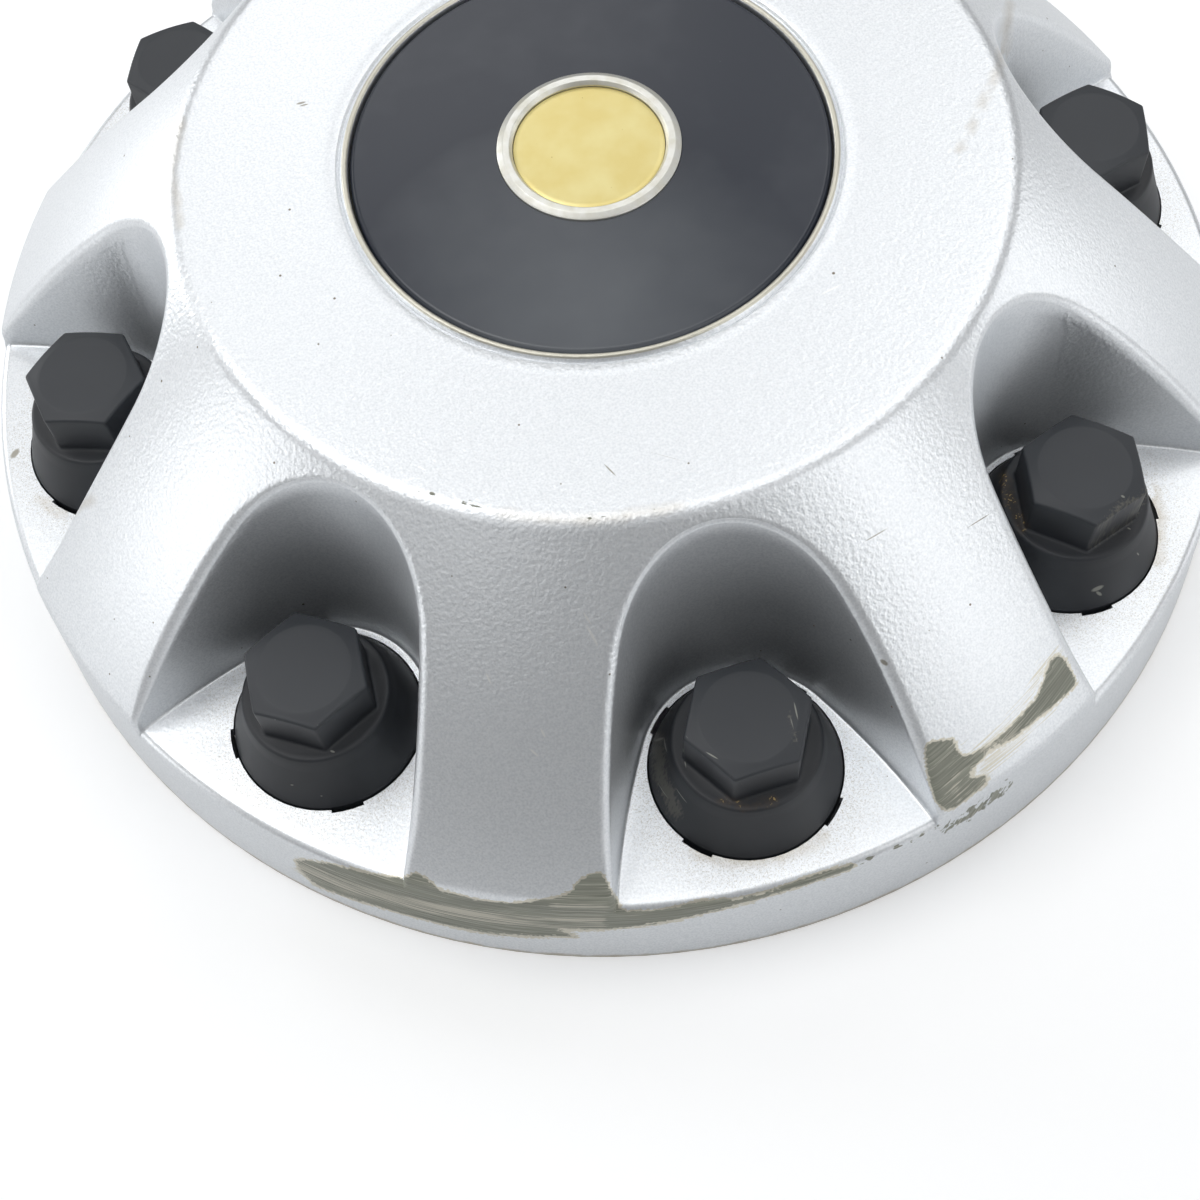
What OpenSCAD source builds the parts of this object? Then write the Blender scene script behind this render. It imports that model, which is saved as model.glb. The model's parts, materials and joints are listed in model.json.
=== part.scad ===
// Wheel center cap for an eight-stud truck wheel.
// A moulded shell carries a round badge and holds a screw-on cap over each wheel nut.
// Millimetres, +Z up. The origin is the centre of the rim's bottom face,
// where the cap meets the wheel.

/* [Wheel fit] */
// Number of wheel studs, each with its own pocket and nut cap
stud_count = 8; // [5:1:8]
// Diameter of the circle that the studs stand on
stud_circle_d = 165.1; // [137:0.1:200]
// Thread diameter inside each nut cap, over the collar of the wheel nut
nut_thread_d = 19.4; // [16:0.1:24]
// Diameter of the wheel stud that reaches up into the nut cap's head
stud_d = 14; // [11:0.5:15]

/* [Rim band] */
// Width of the rim's foot outside the nut caps' flanges
rim_margin = 5.85; // [4.5:0.05:18]
// Height of the pocket floors, at the top of the rim band
floor_h = 19.3; // [16:0.1:26]
// Inward lean of the rim band, degrees
rim_draft = 4.3; // [1:0.1:6]
// Rounding of the rim's top edge
lip_r = 1.5; // [0.5:0.1:2.2]

/* [Crown] */
// Height of the flat top face
crown_h = 62.7; // [52:0.1:78]
// Diameter of the circle where the top face turns down
shoulder_d = 123.2; // [116:0.2:128]
// Rounding of the shoulder
shoulder_r = 4; // [1:0.5:8]
// Height above the pocket floors where the slope runs out at the rim
slope_foot = 2.7; // [1.5:0.1:5]
// How far the slope bulges out from a straight cone
slope_bulge = 1.6; // [0.5:0.1:3]
// Rounding where the slope meets the rim band
foot_r = 2.4; // [0.5:0.1:3]

/* [Walls] */
// Thickness of the shell's walls
wall = 2.5; // [1.8:0.1:3]
// Thickness of the pocket floors
floor_t = 2.6; // [2:0.1:3.5]
// Thickness of the ribs under the ridges
rib_t = 1.6; // [1:0.1:2.2]
// Depth of the ribs under the ridges
rib_depth = 5; // [2:0.5:7]
// Height of the ribs' lower ends above the wheel
rib_lift = 3; // [1:0.5:6]

/* [Pockets] */
// Width of the floor between each nut cap's hole and the pocket's round inner end
nose_ledge = 1.1; // [0.7:0.1:2.4]
// Radius of the long curve of each side
side_r = 118; // [90:1:160]
// Angle about the stud where the round end runs into the sides, degrees
side_start = 120; // [110:1:130]
// Outward lean of the pocket's walls, degrees
pocket_draft = 4.4; // [2:0.1:6]

/* [Badge] */
// Diameter of the badge
badge_d = 70.5; // [58:0.1:86]
// Thickness of the badge at its edge
badge_t = 2.6; // [2:0.1:3.5]
// Rise of the badge's domed face
badge_crown = 0.8; // [0.3:0.1:1.5]
// Rounding of the badge's edge
badge_edge_r = 0.8; // [0.3:0.1:1.2]
// Gap between the badge and its recess
badge_gap = 0.3; // [0.1:0.05:0.6]
// Width of the raised bead round the recess
bead_w = 0.9; // [0.5:0.1:1.5]
// Height of that bead above the top face
bead_h = 0.3; // [0.1:0.1:0.8]
// Width of the groove outside the bead
groove_w = 0.9; // [0.4:0.1:1.5]
// Depth of that groove
groove_depth = 0.4; // [0.2:0.1:0.8]
// Outside diameter of the medallion's silver border
medallion_d = 27; // [20:0.5:36]
// Width of that border
border_w = 2.3; // [1:0.1:3.5]
// Height of the border above the badge's face
border_h = 0.5; // [0.2:0.1:1]
// Depth of the medallion's seat below the top face
seat_depth = 0.4; // [0.2:0.1:0.8]
// Number of posts that fasten the badge
post_count = 3; // [2:1:6]
// Diameter of each post
post_d = 3; // [2:0.1:4]
// Diameter of the circle that the posts stand on
post_circle_d = 46; // [34:1:58]

/* [Nut caps] */
// Height of the hexagonal head's top above the pocket floor
nut_h = 19.3; // [16:0.1:24]
// Thickness of the head's wall at its flats
head_side = 1.15; // [1:0.05:2]
// Width of the chamfer on the head's top, at the flats
head_bevel = 1.45; // [0.5:0.05:3]
// Slope of that chamfer, degrees
head_chamfer = 16; // [8:1:24]
// Thickness of the roofs over the stud and over the thread
roof_t = 1.6; // [1.2:0.1:2.4]
// Height of the round collar's top above the pocket floor
collar_h = 10.7; // [9:0.1:13]
// Thickness of the collar's straight edge
collar_t = 2.2; // [1:0.1:3]
// Thickness of the collar's wall round the thread
collar_wall = 1.15; // [1:0.05:2]
// Least width of the collar's ledge outside the head's corners
collar_ledge = 1.3; // [0.5:0.1:2]
// Step from the thread out to the mouth of the skirt
mouth_step = 3.1; // [2.4:0.1:4]
// Thickness of the skirt's wall
skirt_wall = 1.5; // [1.2:0.1:2]
// Gap all round between the skirt and its hole
skirt_gap = 0.3; // [0.2:0.05:0.5]
// Width of the flange beyond the skirt
flange_w = 0.55; // [0.45:0.05:1]
// Thickness of the flange
flange_t = 1.8; // [1.2:0.1:2.5]
// Free travel of the flange between the floor and the hooks
flange_float = 0.8; // [0.4:0.1:1.2]
// How far each nut cap is turned, degrees
nut_turns = [15, 38, 52, 7.5, 42.4, 29, 3.2, 20.1];

/* [Snap hooks] */
// Number of hooks that hold each nut cap
hook_count = 4; // [3:1:6]
// Angle that each hook covers about the stud, degrees
hook_angle = 19; // [12:1:30]
// Thickness of a hook's arm
hook_t = 1.5; // [1:0.1:2]
// How far a hook's nose reaches under the flange
hook_reach = 0.6; // [0.3:0.1:0.8]
// Height of the hook's nose
hook_nose_h = 2; // [1.2:0.1:3]
// Gap between the flange and the hooks
hook_gap = 0.2; // [0.15:0.05:0.4]

/* [Hidden] */
$fn = 96;
cut = 1;
sliver = 0.01;
arc_steps = 4;
silver = "#d3d8da";
black = "#17191c";
charcoal = "#2c2e30";
chrome = "#e6e7e4";
gold = "#e2cf7c";

// The stud circle and the rim
stud_r = stud_circle_d / 2;
pitch = 360 / stud_count;

// The nut cap, from its thread and its stud bore out to the rim band
thread_r = nut_thread_d / 2;
stud_gap = 0.1;
stud_bore_r = stud_d / 2 + stud_gap;
hex_af = 2 * (stud_bore_r + head_side);
hex_r = hex_af / 2 / cos(30);
collar_r = max(thread_r + collar_wall, hex_r + collar_ledge);
mouth_r = thread_r + mouth_step;
skirt_r = mouth_r + skirt_wall;
hole_r = skirt_r + skirt_gap;
flange_r = skirt_r + flange_w;
nose_r = hole_r + nose_ledge;
rim_r = stud_r + flange_r + rim_margin;

// Reach and height of what cuts past everything
far = 2 * rim_r;
clear_h = 15;

// The slope is an arc through the shoulder and its foot on the rim band
slope_a = [shoulder_d / 2, crown_h];
slope_b = [rim_r - (floor_h + slope_foot) * tan(rim_draft), floor_h + slope_foot];
slope_len = norm(slope_b - slope_a);
slope_r = (slope_len * slope_len / 4 + slope_bulge * slope_bulge) / (2 * slope_bulge);
slope_n = [slope_a[1] - slope_b[1], slope_b[0] - slope_a[0]] / slope_len;
slope_c = (slope_a + slope_b) / 2 - slope_n * (slope_r - slope_bulge);

// The badge, its recess and the medallion
badge_r = badge_d / 2;
recess_r = badge_r + badge_gap;
recess_h = crown_h - badge_t;
dome_r = (badge_r * badge_r + badge_crown * badge_crown) / (2 * badge_crown);
dome_c = crown_h + badge_crown - dome_r;
border_r = medallion_d / 2;
inlay_r = border_r - border_w;
seat_h = crown_h - seat_depth;
inlay_gap = 0.1;
inlay_h = crown_h + badge_crown - inlay_gap;
post_gap = 0.15;
stake_w = 1;
stake_r = post_d / 2 + stake_w;
stake_t = 1.2;

// Heights of the nut cap and the hooks
flange_top = floor_h - floor_t - flange_float + hook_gap;
flange_bottom = flange_top - flange_t;
hook_in_r = flange_r + hook_gap;
hook_top = flange_bottom - hook_gap;
edge_r = 0.4;
thread_lead = 2;
thread_bottom = floor_h + thread_lead;
thread_top = floor_h + collar_h - roof_t;

// Points along an arc from angle a to angle b
function arc(c, r, a, b, n = arc_steps) =
    [for (i = [0:n]) c + r * [cos(a + (b - a) * i / n), sin(a + (b - a) * i / n)]];

// Direction of a vector, degrees
function heading(v) = atan2(v[1], v[0]);

// Radius of the rim band at height z, set in by d
function band_r(z, d) = rim_r - z * tan(rim_draft) - d / cos(rim_draft);

// Corner of the top face and the slope, both set in by d
function shoulder(d) =
    [slope_c[0] + sqrt(pow(slope_r - d, 2) - pow(crown_h - d - slope_c[1], 2)), crown_h - d];

// Corner of the slope and the rim band, both set in by d
function foot(d) =
    let (
        lean = [-sin(rim_draft), cos(rim_draft)],
        start = [band_r(0, d), 0] - slope_c,
        half = start * lean,
        reach = sqrt(half * half - start * start + pow(slope_r - d, 2))
    ) slope_c + start + lean * (reach - half);

// Outline of half the crown, set in by d and cut off at height z
function crown_outline(d, z) =
    let (
        top = shoulder(max(d, shoulder_r)),
        low = foot(max(d, foot_r)),
        a = heading(top - slope_c),
        b = heading(low - slope_c)
    ) concat(
        [[0, z], [0, crown_h - d]],
        d < shoulder_r ? arc(top, shoulder_r - d, 90, a) : [top],
        [for (i = [1:arc_steps - 1]) slope_c + (slope_r - d) * [
            cos(a + (b - a) * i / arc_steps),
            sin(a + (b - a) * i / arc_steps)
        ]],
        d < foot_r ? arc(low, foot_r - d, b, rim_draft) : [low],
        [[band_r(z, d), z]]
    );

module each_stud() {
    for (i = [0:stud_count - 1])
        rotate([0, 0, i * pitch])
            translate([stud_r, 0, 0])
                children();
}

// A cone that widens upwards with the pocket's draft; r is its radius at floor height
module draft_cone(r, z) {
    h = crown_h + clear_h - z;
    lean = tan(pocket_draft);
    translate([0, 0, z])
        cylinder(h = h, r1 = r + (z - floor_h) * lean, r2 = r + (z + h - floor_h) * lean);
}

// The sector round the stud, open outwards, in which the pocket's sides run
module side_sector(z, grow) {
    translate([0, 0, z - grow])
        linear_extrude(crown_h + clear_h - z + 2 * grow)
            polygon([
                [0, 0],
                far * [cos(side_start), -sin(side_start)],
                far * [1, -1],
                far * [1, 1],
                far * [cos(side_start), sin(side_start)]
            ]);
}

// One pocket's space from height z up, grown by a wall: a round end and two flaring sides
module pocket(grow, z) {
    side_c = (side_r - nose_r) * [-cos(side_start), sin(side_start)];
    difference() {
        draft_cone(nose_r + grow, z);
        side_sector(z, cut);
    }
    intersection() {
        translate([side_c[0], side_c[1], 0])
            draft_cone(side_r + grow, z);
        translate([side_c[0], -side_c[1], 0])
            draft_cone(side_r + grow, z);
        side_sector(z, 0);
    }
}

// The rim band and the pocket floors as one solid disc with a rounded top edge
module base_disc() {
    c = [band_r(floor_h - lip_r, lip_r), floor_h - lip_r];
    rotate_extrude()
        polygon(concat([[0, 0], [0, floor_h]], arc(c, lip_r, 90, rim_draft), [[rim_r, 0]]));
}

// The crown as a solid, with the pockets cut into it
module crown() {
    low = floor_h - lip_r - cut;
    difference() {
        rotate_extrude()
            polygon(crown_outline(0, low));
        each_stud()
            pocket(0, low - cut);
    }
}

// The ribs that stiffen each ridge from below
module ribs() {
    difference() {
        for (i = [0:stud_count - 1])
            rotate([0, 0, (i + 0.5) * pitch])
                translate([recess_r + wall, -rib_t / 2, rib_lift])
                    cube([rim_r - recess_r - 2 * wall, rib_t, crown_h - rib_lift - wall / 2]);
        rotate_extrude()
            polygon(crown_outline(wall + rib_depth, -cut));
    }
}

// The hollow under the crown, which leaves the walls, floors and ribs standing
module hollow() {
    difference() {
        rotate_extrude()
            polygon(crown_outline(wall, -cut));
        each_stud()
            pocket(wall, floor_h - floor_t);
        translate([0, 0, recess_h - wall])
            cylinder(h = crown_h, r = recess_r + wall);
        ribs();
    }
}

// The recess for the badge, with the groove outside its bead
module badge_recess() {
    bead_r = recess_r + bead_w;
    translate([0, 0, recess_h])
        cylinder(h = crown_h, r = recess_r);
    translate([0, 0, crown_h - groove_depth])
        difference() {
            cylinder(h = crown_h, r = bead_r + groove_w);
            translate([0, 0, -cut])
                cylinder(h = crown_h * 2, r = bead_r);
        }
    for (i = [0:post_count - 1])
        rotate([0, 0, i * 360 / post_count])
            translate([post_circle_d / 2, 0, recess_h - 2 * wall])
                cylinder(h = 3 * wall, r = post_d / 2 + post_gap);
}

// The raised bead round the badge
module bead() {
    translate([0, 0, crown_h - wall / 2])
        rotate_extrude()
            polygon([
                [recess_r, 0],
                [recess_r + bead_w, 0],
                [recess_r + bead_w, wall / 2],
                [recess_r + bead_w * 2 / 3, wall / 2 + bead_h],
                [recess_r + bead_w / 3, wall / 2 + bead_h],
                [recess_r, wall / 2]
            ]);
}

// One hook: an arm down from the floor with a nose that reaches under the flange
module hook() {
    nose_r0 = flange_r - hook_reach;
    rotate([0, 0, -hook_angle / 2])
        rotate_extrude(angle = hook_angle)
            polygon([
                [hook_in_r, floor_h - floor_t / 2],
                [hook_in_r, hook_top],
                [nose_r0, hook_top],
                [nose_r0, hook_top - hook_nose_h / 3],
                [hook_in_r, hook_top - hook_nose_h],
                [hook_in_r + hook_t, hook_top - hook_nose_h],
                [hook_in_r + hook_t, floor_h - floor_t / 2]
            ]);
}

// The slot over a hook's nose, left by the part of the mould that forms it
module hook_slot() {
    rotate([0, 0, -hook_angle / 2])
        translate([0, 0, floor_h - floor_t - cut])
            rotate_extrude(angle = hook_angle)
                translate([skirt_r, 0])
                    square([hook_in_r - skirt_r, floor_t + 2 * cut]);
}

module each_hook() {
    for (i = [0:hook_count - 1])
        rotate([0, 0, (i + 0.5) * 360 / hook_count])
            children();
}

module cap_shell() {
    color(silver) {
        difference() {
            union() {
                base_disc();
                crown();
                bead();
            }
            hollow();
            badge_recess();
            each_stud() {
                translate([0, 0, floor_h - floor_t - cut])
                    cylinder(h = floor_t + 2 * cut, r = hole_r);
                each_hook()
                    hook_slot();
            }
        }
        each_stud()
            each_hook()
                hook();
    }
}

// The badge: a domed disc with a seat for the medallion and posts staked over below
module badge_disc() {
    rim_c = [badge_r - badge_edge_r, crown_h - badge_edge_r];
    color(black)
        difference() {
            union() {
                rotate_extrude()
                    polygon(concat(
                        [[0, recess_h], [0, crown_h + badge_crown]],
                        [for (i = [1:arc_steps])
                            let (r = (badge_r - 2 * badge_edge_r) * i / arc_steps)
                                [r, dome_c + sqrt(dome_r * dome_r - r * r)]],
                        arc(rim_c, badge_edge_r, 80, 0),
                        [[badge_r, recess_h]]
                    ));
                for (i = [0:post_count - 1])
                    rotate([0, 0, i * 360 / post_count])
                        translate([post_circle_d / 2, 0, recess_h - wall - stake_t])
                            badge_post();
            }
            translate([0, 0, seat_h])
                cylinder(h = crown_h, r = border_r);
        }
}

// One post, with the head that staking leaves on its end
module badge_post() {
    cylinder(h = wall + stake_t + badge_t / 2, r = post_d / 2);
    cylinder(h = stake_t, r1 = stake_r * 0.7, r2 = stake_r);
}

// The medallion's border: a bevelled ring seated in the badge
module badge_border() {
    top = crown_h + badge_crown + border_h;
    color(chrome)
        rotate_extrude()
            polygon([
                [inlay_r, seat_h],
                [border_r, seat_h],
                [border_r, top - border_h],
                [border_r - border_w * 0.4, top],
                [inlay_r + border_w * 0.2, top],
                [inlay_r, inlay_h]
            ]);
}

// The plain inlay inside the border
module badge_inlay() {
    color(gold)
        translate([0, 0, seat_h])
            cylinder(h = inlay_h - seat_h - inlay_gap, r = inlay_r - inlay_gap);
}

// Outline of half a nut cap below its head: flange, skirt, flare and collar
module nut_outline() {
    collar_low = floor_h + collar_h - collar_t;
    polygon(concat(
        [
            [0, flange_bottom],
            [flange_r, flange_bottom],
            [flange_r, flange_top],
            [skirt_r, flange_top]
        ],
        arc([skirt_r - edge_r, floor_h + edge_r], edge_r, 0, 66, 2),
        [[collar_r + edge_r, collar_low - edge_r], [collar_r, collar_low]],
        arc([collar_r - edge_r, floor_h + collar_h - edge_r], edge_r, 0, 90, 2),
        [[0, floor_h + collar_h]]
    ));
}

// One nut cap at the origin's axis
module nut_cap() {
    head_low = floor_h + collar_h - cut;
    head_top = floor_h + nut_h;
    color(charcoal)
        difference() {
            union() {
                rotate_extrude()
                    nut_outline();
                intersection() {
                    translate([0, 0, head_low])
                        cylinder(h = head_top - head_low, r = hex_r, $fn = 6);
                    head_cone(head_low, head_top);
                }
            }
            translate([0, 0, flange_bottom - cut])
                cylinder(h = floor_h - flange_bottom + cut, r = mouth_r);
            translate([0, 0, floor_h - sliver])
                cylinder(h = thread_lead + 2 * sliver, r1 = mouth_r, r2 = thread_r);
            translate([0, 0, thread_bottom])
                cylinder(h = thread_top - thread_bottom, r = thread_r);
            translate([0, 0, thread_top - cut])
                cylinder(h = head_top - roof_t - thread_top + cut, r = stud_bore_r);
        }
}

// The cone that chamfers the head's top
module head_cone(low, top) {
    h = top - low;
    flat_r = hex_af / 2 - head_bevel;
    translate([0, 0, low])
        cylinder(h = h, r1 = flat_r + h / tan(head_chamfer), r2 = flat_r);
}

module placed_nut_cap(i) {
    rotate([0, 0, (i - 1) * pitch])
        translate([stud_r, 0, 0])
            rotate([0, 0, nut_turns[i - 1] - (i - 1) * pitch])
                nut_cap();
}

cap_shell();
badge_disc();
badge_border();
badge_inlay();
for (i = [1:stud_count])
    placed_nut_cap(i);
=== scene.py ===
"""A wheel center cap for an eight-stud wheel: painted shell, round badge and eight nut caps."""

import json
import logging
import math
from collections.abc import Callable, Sequence
from dataclasses import dataclass
from enum import Enum

import bmesh
import bpy
import numpy as np
from bpy.types import Material, Mesh, Node, NodeSocket, NodeTree, Object
from mathutils import Matrix, Vector
from mathutils.bvhtree import BVHTree
from mathutils.geometry import delaunay_2d_cdt


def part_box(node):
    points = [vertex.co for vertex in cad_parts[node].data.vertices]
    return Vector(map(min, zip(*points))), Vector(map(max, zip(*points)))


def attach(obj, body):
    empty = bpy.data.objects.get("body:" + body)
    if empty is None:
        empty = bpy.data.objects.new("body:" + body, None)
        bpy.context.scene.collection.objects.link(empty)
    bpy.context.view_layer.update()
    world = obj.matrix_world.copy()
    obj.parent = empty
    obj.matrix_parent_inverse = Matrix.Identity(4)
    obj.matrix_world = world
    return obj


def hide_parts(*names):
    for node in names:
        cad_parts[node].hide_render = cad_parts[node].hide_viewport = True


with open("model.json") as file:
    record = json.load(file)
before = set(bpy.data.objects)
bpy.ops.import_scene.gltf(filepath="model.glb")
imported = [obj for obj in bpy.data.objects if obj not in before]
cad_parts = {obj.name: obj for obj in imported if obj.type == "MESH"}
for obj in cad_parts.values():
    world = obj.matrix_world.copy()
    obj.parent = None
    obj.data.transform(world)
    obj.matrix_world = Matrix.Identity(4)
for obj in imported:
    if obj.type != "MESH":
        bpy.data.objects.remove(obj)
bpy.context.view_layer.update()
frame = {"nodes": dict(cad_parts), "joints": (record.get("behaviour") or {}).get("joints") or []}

log = logging.getLogger("wheel_cap")

MM = 0.001
WELD = 1e-6
NEAR = 0.01


def node_box(node: str) -> np.ndarray:
    """The lowest and highest corners of a CAD node, in millimetres."""
    return np.array(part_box(node)) / MM


def bisect(test: Callable[[np.ndarray], np.ndarray], low: np.ndarray, high: np.ndarray) -> np.ndarray:
    """Finds where a rising test turns positive.

    Args:
        test: Gives a number for each trial value, rising from low to high.
        low: Trial values where the test is negative.
        high: Trial values where the test is positive.

    Returns:
        The values at which the test is nought.
    """
    halvings = 44
    for _ in range(halvings):
        middle = (low + high) / 2
        above = test(middle) > 0
        high = np.where(above, middle, high)
        low = np.where(above, low, middle)
    return (low + high) / 2


def ease(x: np.ndarray) -> np.ndarray:
    """A smooth step from 0 to 1 as x goes from 0 to 1."""
    t = np.clip(x, 0, 1)
    return t * t * (3 - 2 * t)


def arc(centre: Sequence[float], radius: float, start: float, end: float, steps: int) -> np.ndarray:
    """Points of an arc in the r-z plane with their outward normals.

    Args:
        centre: The arc's centre, r and z.
        radius: The arc's radius; below nought for a hollow arc, whose normals point inwards.
        start: Heading of the first point from the centre, radians.
        end: Heading of the last point.
        steps: Number of chords.

    Returns:
        Rows of r, z, normal r and normal z.
    """
    t = np.linspace(start, end, steps + 1)
    across = np.c_[np.cos(t), np.sin(t)]
    return np.hstack([np.array(centre) + abs(radius) * across, np.sign(radius) * across])


def line(start: Sequence[float], end: Sequence[float], steps: int) -> np.ndarray:
    """Points of a straight stretch in the r-z plane, with the normal on its left.

    Args:
        start: First point, r and z.
        end: Last point.
        steps: Number of stretches.

    Returns:
        Rows of r, z, normal r and normal z.
    """
    a, b = np.array(start, float), np.array(end, float)
    t = np.linspace(0, 1, steps + 1)[:, None]
    along = (b - a) / np.linalg.norm(b - a)
    normal = np.array([-along[1], along[0]])
    return np.hstack([a + (b - a) * t, np.tile(normal, (steps + 1, 1))])


class Outline:
    """A turned surface's outline in the r-z plane, read by length along it."""

    def __init__(self, pieces: Sequence[np.ndarray]) -> None:
        """Joins the pieces and measures the length along them.

        Args:
            pieces: Rows of r, z, normal r and normal z, in order along the outline.
        """
        rows = np.vstack(pieces)
        steps = np.hypot(*np.diff(rows[:, :2], axis=0).T)
        self.ends = np.cumsum([len(piece) for piece in pieces]) - 1
        self.length = np.r_[0, np.cumsum(steps)]
        self.marks = self.length[self.ends]
        self.rows = rows

    def at(self, s: np.ndarray) -> np.ndarray:
        """Reads the outline.

        Args:
            s: Lengths along the outline.

        Returns:
            Rows of r, z, normal r and normal z.
        """
        found = np.stack([np.interp(s, self.length, column) for column in self.rows.T], -1)
        found[..., 2:] /= np.linalg.norm(found[..., 2:], axis=-1, keepdims=True)
        return found


def polar(r: np.ndarray, angle: np.ndarray, z: np.ndarray) -> np.ndarray:
    """Points from a radius, an angle about the axle and a height."""
    r, angle, z = np.broadcast_arrays(r, angle, z)
    return np.stack([r * np.cos(angle), r * np.sin(angle), z], -1)


def from_axle(points: np.ndarray) -> np.ndarray:
    """How far points lie from the axle, seen along it."""
    return np.hypot(points[..., 0], points[..., 1])


def turned(points: np.ndarray, angle: float) -> np.ndarray:
    """Points turned about the axle by an angle in radians."""
    c, s = math.cos(angle), math.sin(angle)
    return points @ np.array([[c, s, 0], [-s, c, 0], [0, 0, 1]])


def in_loops(points: np.ndarray, loops: Sequence[np.ndarray]) -> np.ndarray:
    """Tells which points lie inside an odd number of closed outlines.

    Args:
        points: Flat points, one a row.
        loops: Closed outlines, each an array of flat points.

    Returns:
        One truth value for each point.
    """
    odd = np.zeros(len(points), bool)
    for loop in loops:
        a, b = loop[:, None, :2], np.roll(loop, -1, 0)[:, None, :2]
        crosses = (a[..., 1] > points[:, 1]) != (b[..., 1] > points[:, 1])
        rise = np.where(b[..., 1] == a[..., 1], 1, b[..., 1] - a[..., 1])
        reach = a[..., 0] + (points[:, 1] - a[..., 1]) * (b[..., 0] - a[..., 0]) / rise
        odd ^= (crosses & (points[:, 0] < reach)).sum(0) % 2 == 1
    return odd


class Skin:
    """Points in millimetres and faces that grow into one mesh."""

    def __init__(self) -> None:
        """Starts with nothing."""
        self.points: list[np.ndarray] = []
        self.faces: list[tuple[int, ...]] = []
        self.kinds: list[int] = []
        self.count = 0

    def add(self, points: np.ndarray) -> np.ndarray:
        """Adds points.

        Args:
            points: An array whose last axis is x, y and z.

        Returns:
            The points' numbers, in the same layout.
        """
        flat = np.asarray(points, float).reshape(-1, 3)
        self.points.append(flat)
        numbers = np.arange(self.count, self.count + len(flat))
        self.count += len(flat)
        return numbers.reshape(np.shape(points)[:-1])

    def cover(self, faces: np.ndarray | Sequence[Sequence[int]], kind: int = 0) -> None:
        """Adds faces.

        Args:
            faces: For each its point numbers.
            kind: Their material number.
        """
        found = [tuple(int(i) for i in face) for face in faces]
        self.faces += found
        self.kinds += [kind] * len(found)

    def grid(self, numbers: np.ndarray, closed: bool = False) -> None:
        """Covers a table of points with quads.

        Args:
            numbers: Point numbers, in rows and columns.
            closed: Whether the last column meets the first.
        """
        if closed:
            numbers = np.hstack([numbers, numbers[:, :1]])
        quads = np.stack([numbers[:-1, :-1], numbers[1:, :-1], numbers[1:, 1:], numbers[:-1, 1:]], -1)
        self.cover(quads.reshape(-1, 4))

    def fan(self, ring: np.ndarray, pole: int) -> None:
        """Covers the disc between a ring of points and a pole."""
        self.cover([(a, b, pole) for a, b in zip(ring, np.roll(ring, -1))])

    def zip_rings(self, one: np.ndarray, two: np.ndarray) -> None:
        """Covers the strip between two rings about the axle, whatever their counts.

        Args:
            one: Point numbers of a ring, in any order.
            two: Point numbers of the other ring.
        """
        every = np.vstack(self.points)
        angles = np.arctan2(every[:, 1], every[:, 0])
        a = one[np.argsort(angles[one])]
        b = two[np.argsort(angles[two])]
        steps = sorted(
            [(angles[n], 0, k) for k, n in enumerate(a)] + [(angles[n], 1, k) for k, n in enumerate(b)]
        )
        now = [a[-1], b[-1]]
        for _, side, k in steps:
            new = (a, b)[side][k]
            self.cover([(now[0], now[1], new)])
            now[side] = new

    def tidy(self) -> "Skin":
        """Leaves out the points that no face uses.

        Returns:
            A new skin without them.
        """
        used = np.unique(np.concatenate([np.array(face) for face in self.faces]))
        renumber = np.full(self.count, -1)
        renumber[used] = np.arange(len(used))
        whole = Skin()
        whole.add(np.vstack(self.points)[used])
        whole.faces = [tuple(int(renumber[i]) for i in face) for face in self.faces]
        whole.kinds = self.kinds
        return whole

    def mesh(self, name: str) -> Mesh:
        """Makes one mesh, in metres, with double points merged and its faces turned outwards.

        Args:
            name: The mesh's name.

        Returns:
            The mesh.
        """
        made = bpy.data.meshes.new(name)
        made.from_pydata((np.vstack(self.points) * MM).tolist(), [], self.faces)
        made.polygons.foreach_set("material_index", self.kinds)
        work = bmesh.new()
        work.from_mesh(made)
        bmesh.ops.remove_doubles(work, verts=work.verts, dist=WELD)
        bmesh.ops.dissolve_degenerate(work, edges=work.edges, dist=WELD / 10)
        bmesh.ops.recalc_face_normals(work, faces=work.faces)
        work.to_mesh(made)
        open_edges = sum(not edge.is_manifold for edge in work.edges)
        work.free()
        log.info("%s: %d faces, %d open edges", name, len(made.polygons), open_edges)
        return made


def smooth(mesh: Mesh, crease: float) -> None:
    """Shades a mesh smooth, but for edges sharper than the crease angle in degrees."""
    mesh.shade_smooth()
    mesh.set_sharp_from_angle(angle=math.radians(crease))


def place(name: str, mesh: Mesh) -> Object:
    """Puts a mesh into the scene as an object at the origin.

    Args:
        name: The object's name.
        mesh: The mesh.

    Returns:
        The object.
    """
    piece = bpy.data.objects.new(name, mesh)
    bpy.context.scene.collection.objects.link(piece)
    return piece


def positions(mesh: Mesh) -> np.ndarray:
    """Reads a mesh's points.

    Args:
        mesh: The mesh.

    Returns:
        The points, in millimetres.
    """
    flat = np.empty(len(mesh.vertices) * 3, np.float32)
    mesh.vertices.foreach_get("co", flat)
    return flat.reshape(-1, 3).astype(float) / MM


def feed(tree: NodeTree, node: Node, feeds: dict) -> None:
    """Gives a node's inputs what they take.

    Args:
        tree: The node's tree.
        node: The node.
        feeds: For each input, by name or number, the socket or the value that it takes.
    """
    for key, value in feeds.items():
        if isinstance(value, NodeSocket):
            tree.links.new(value, node.inputs[key])
        else:
            node.inputs[key].default_value = value


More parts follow.
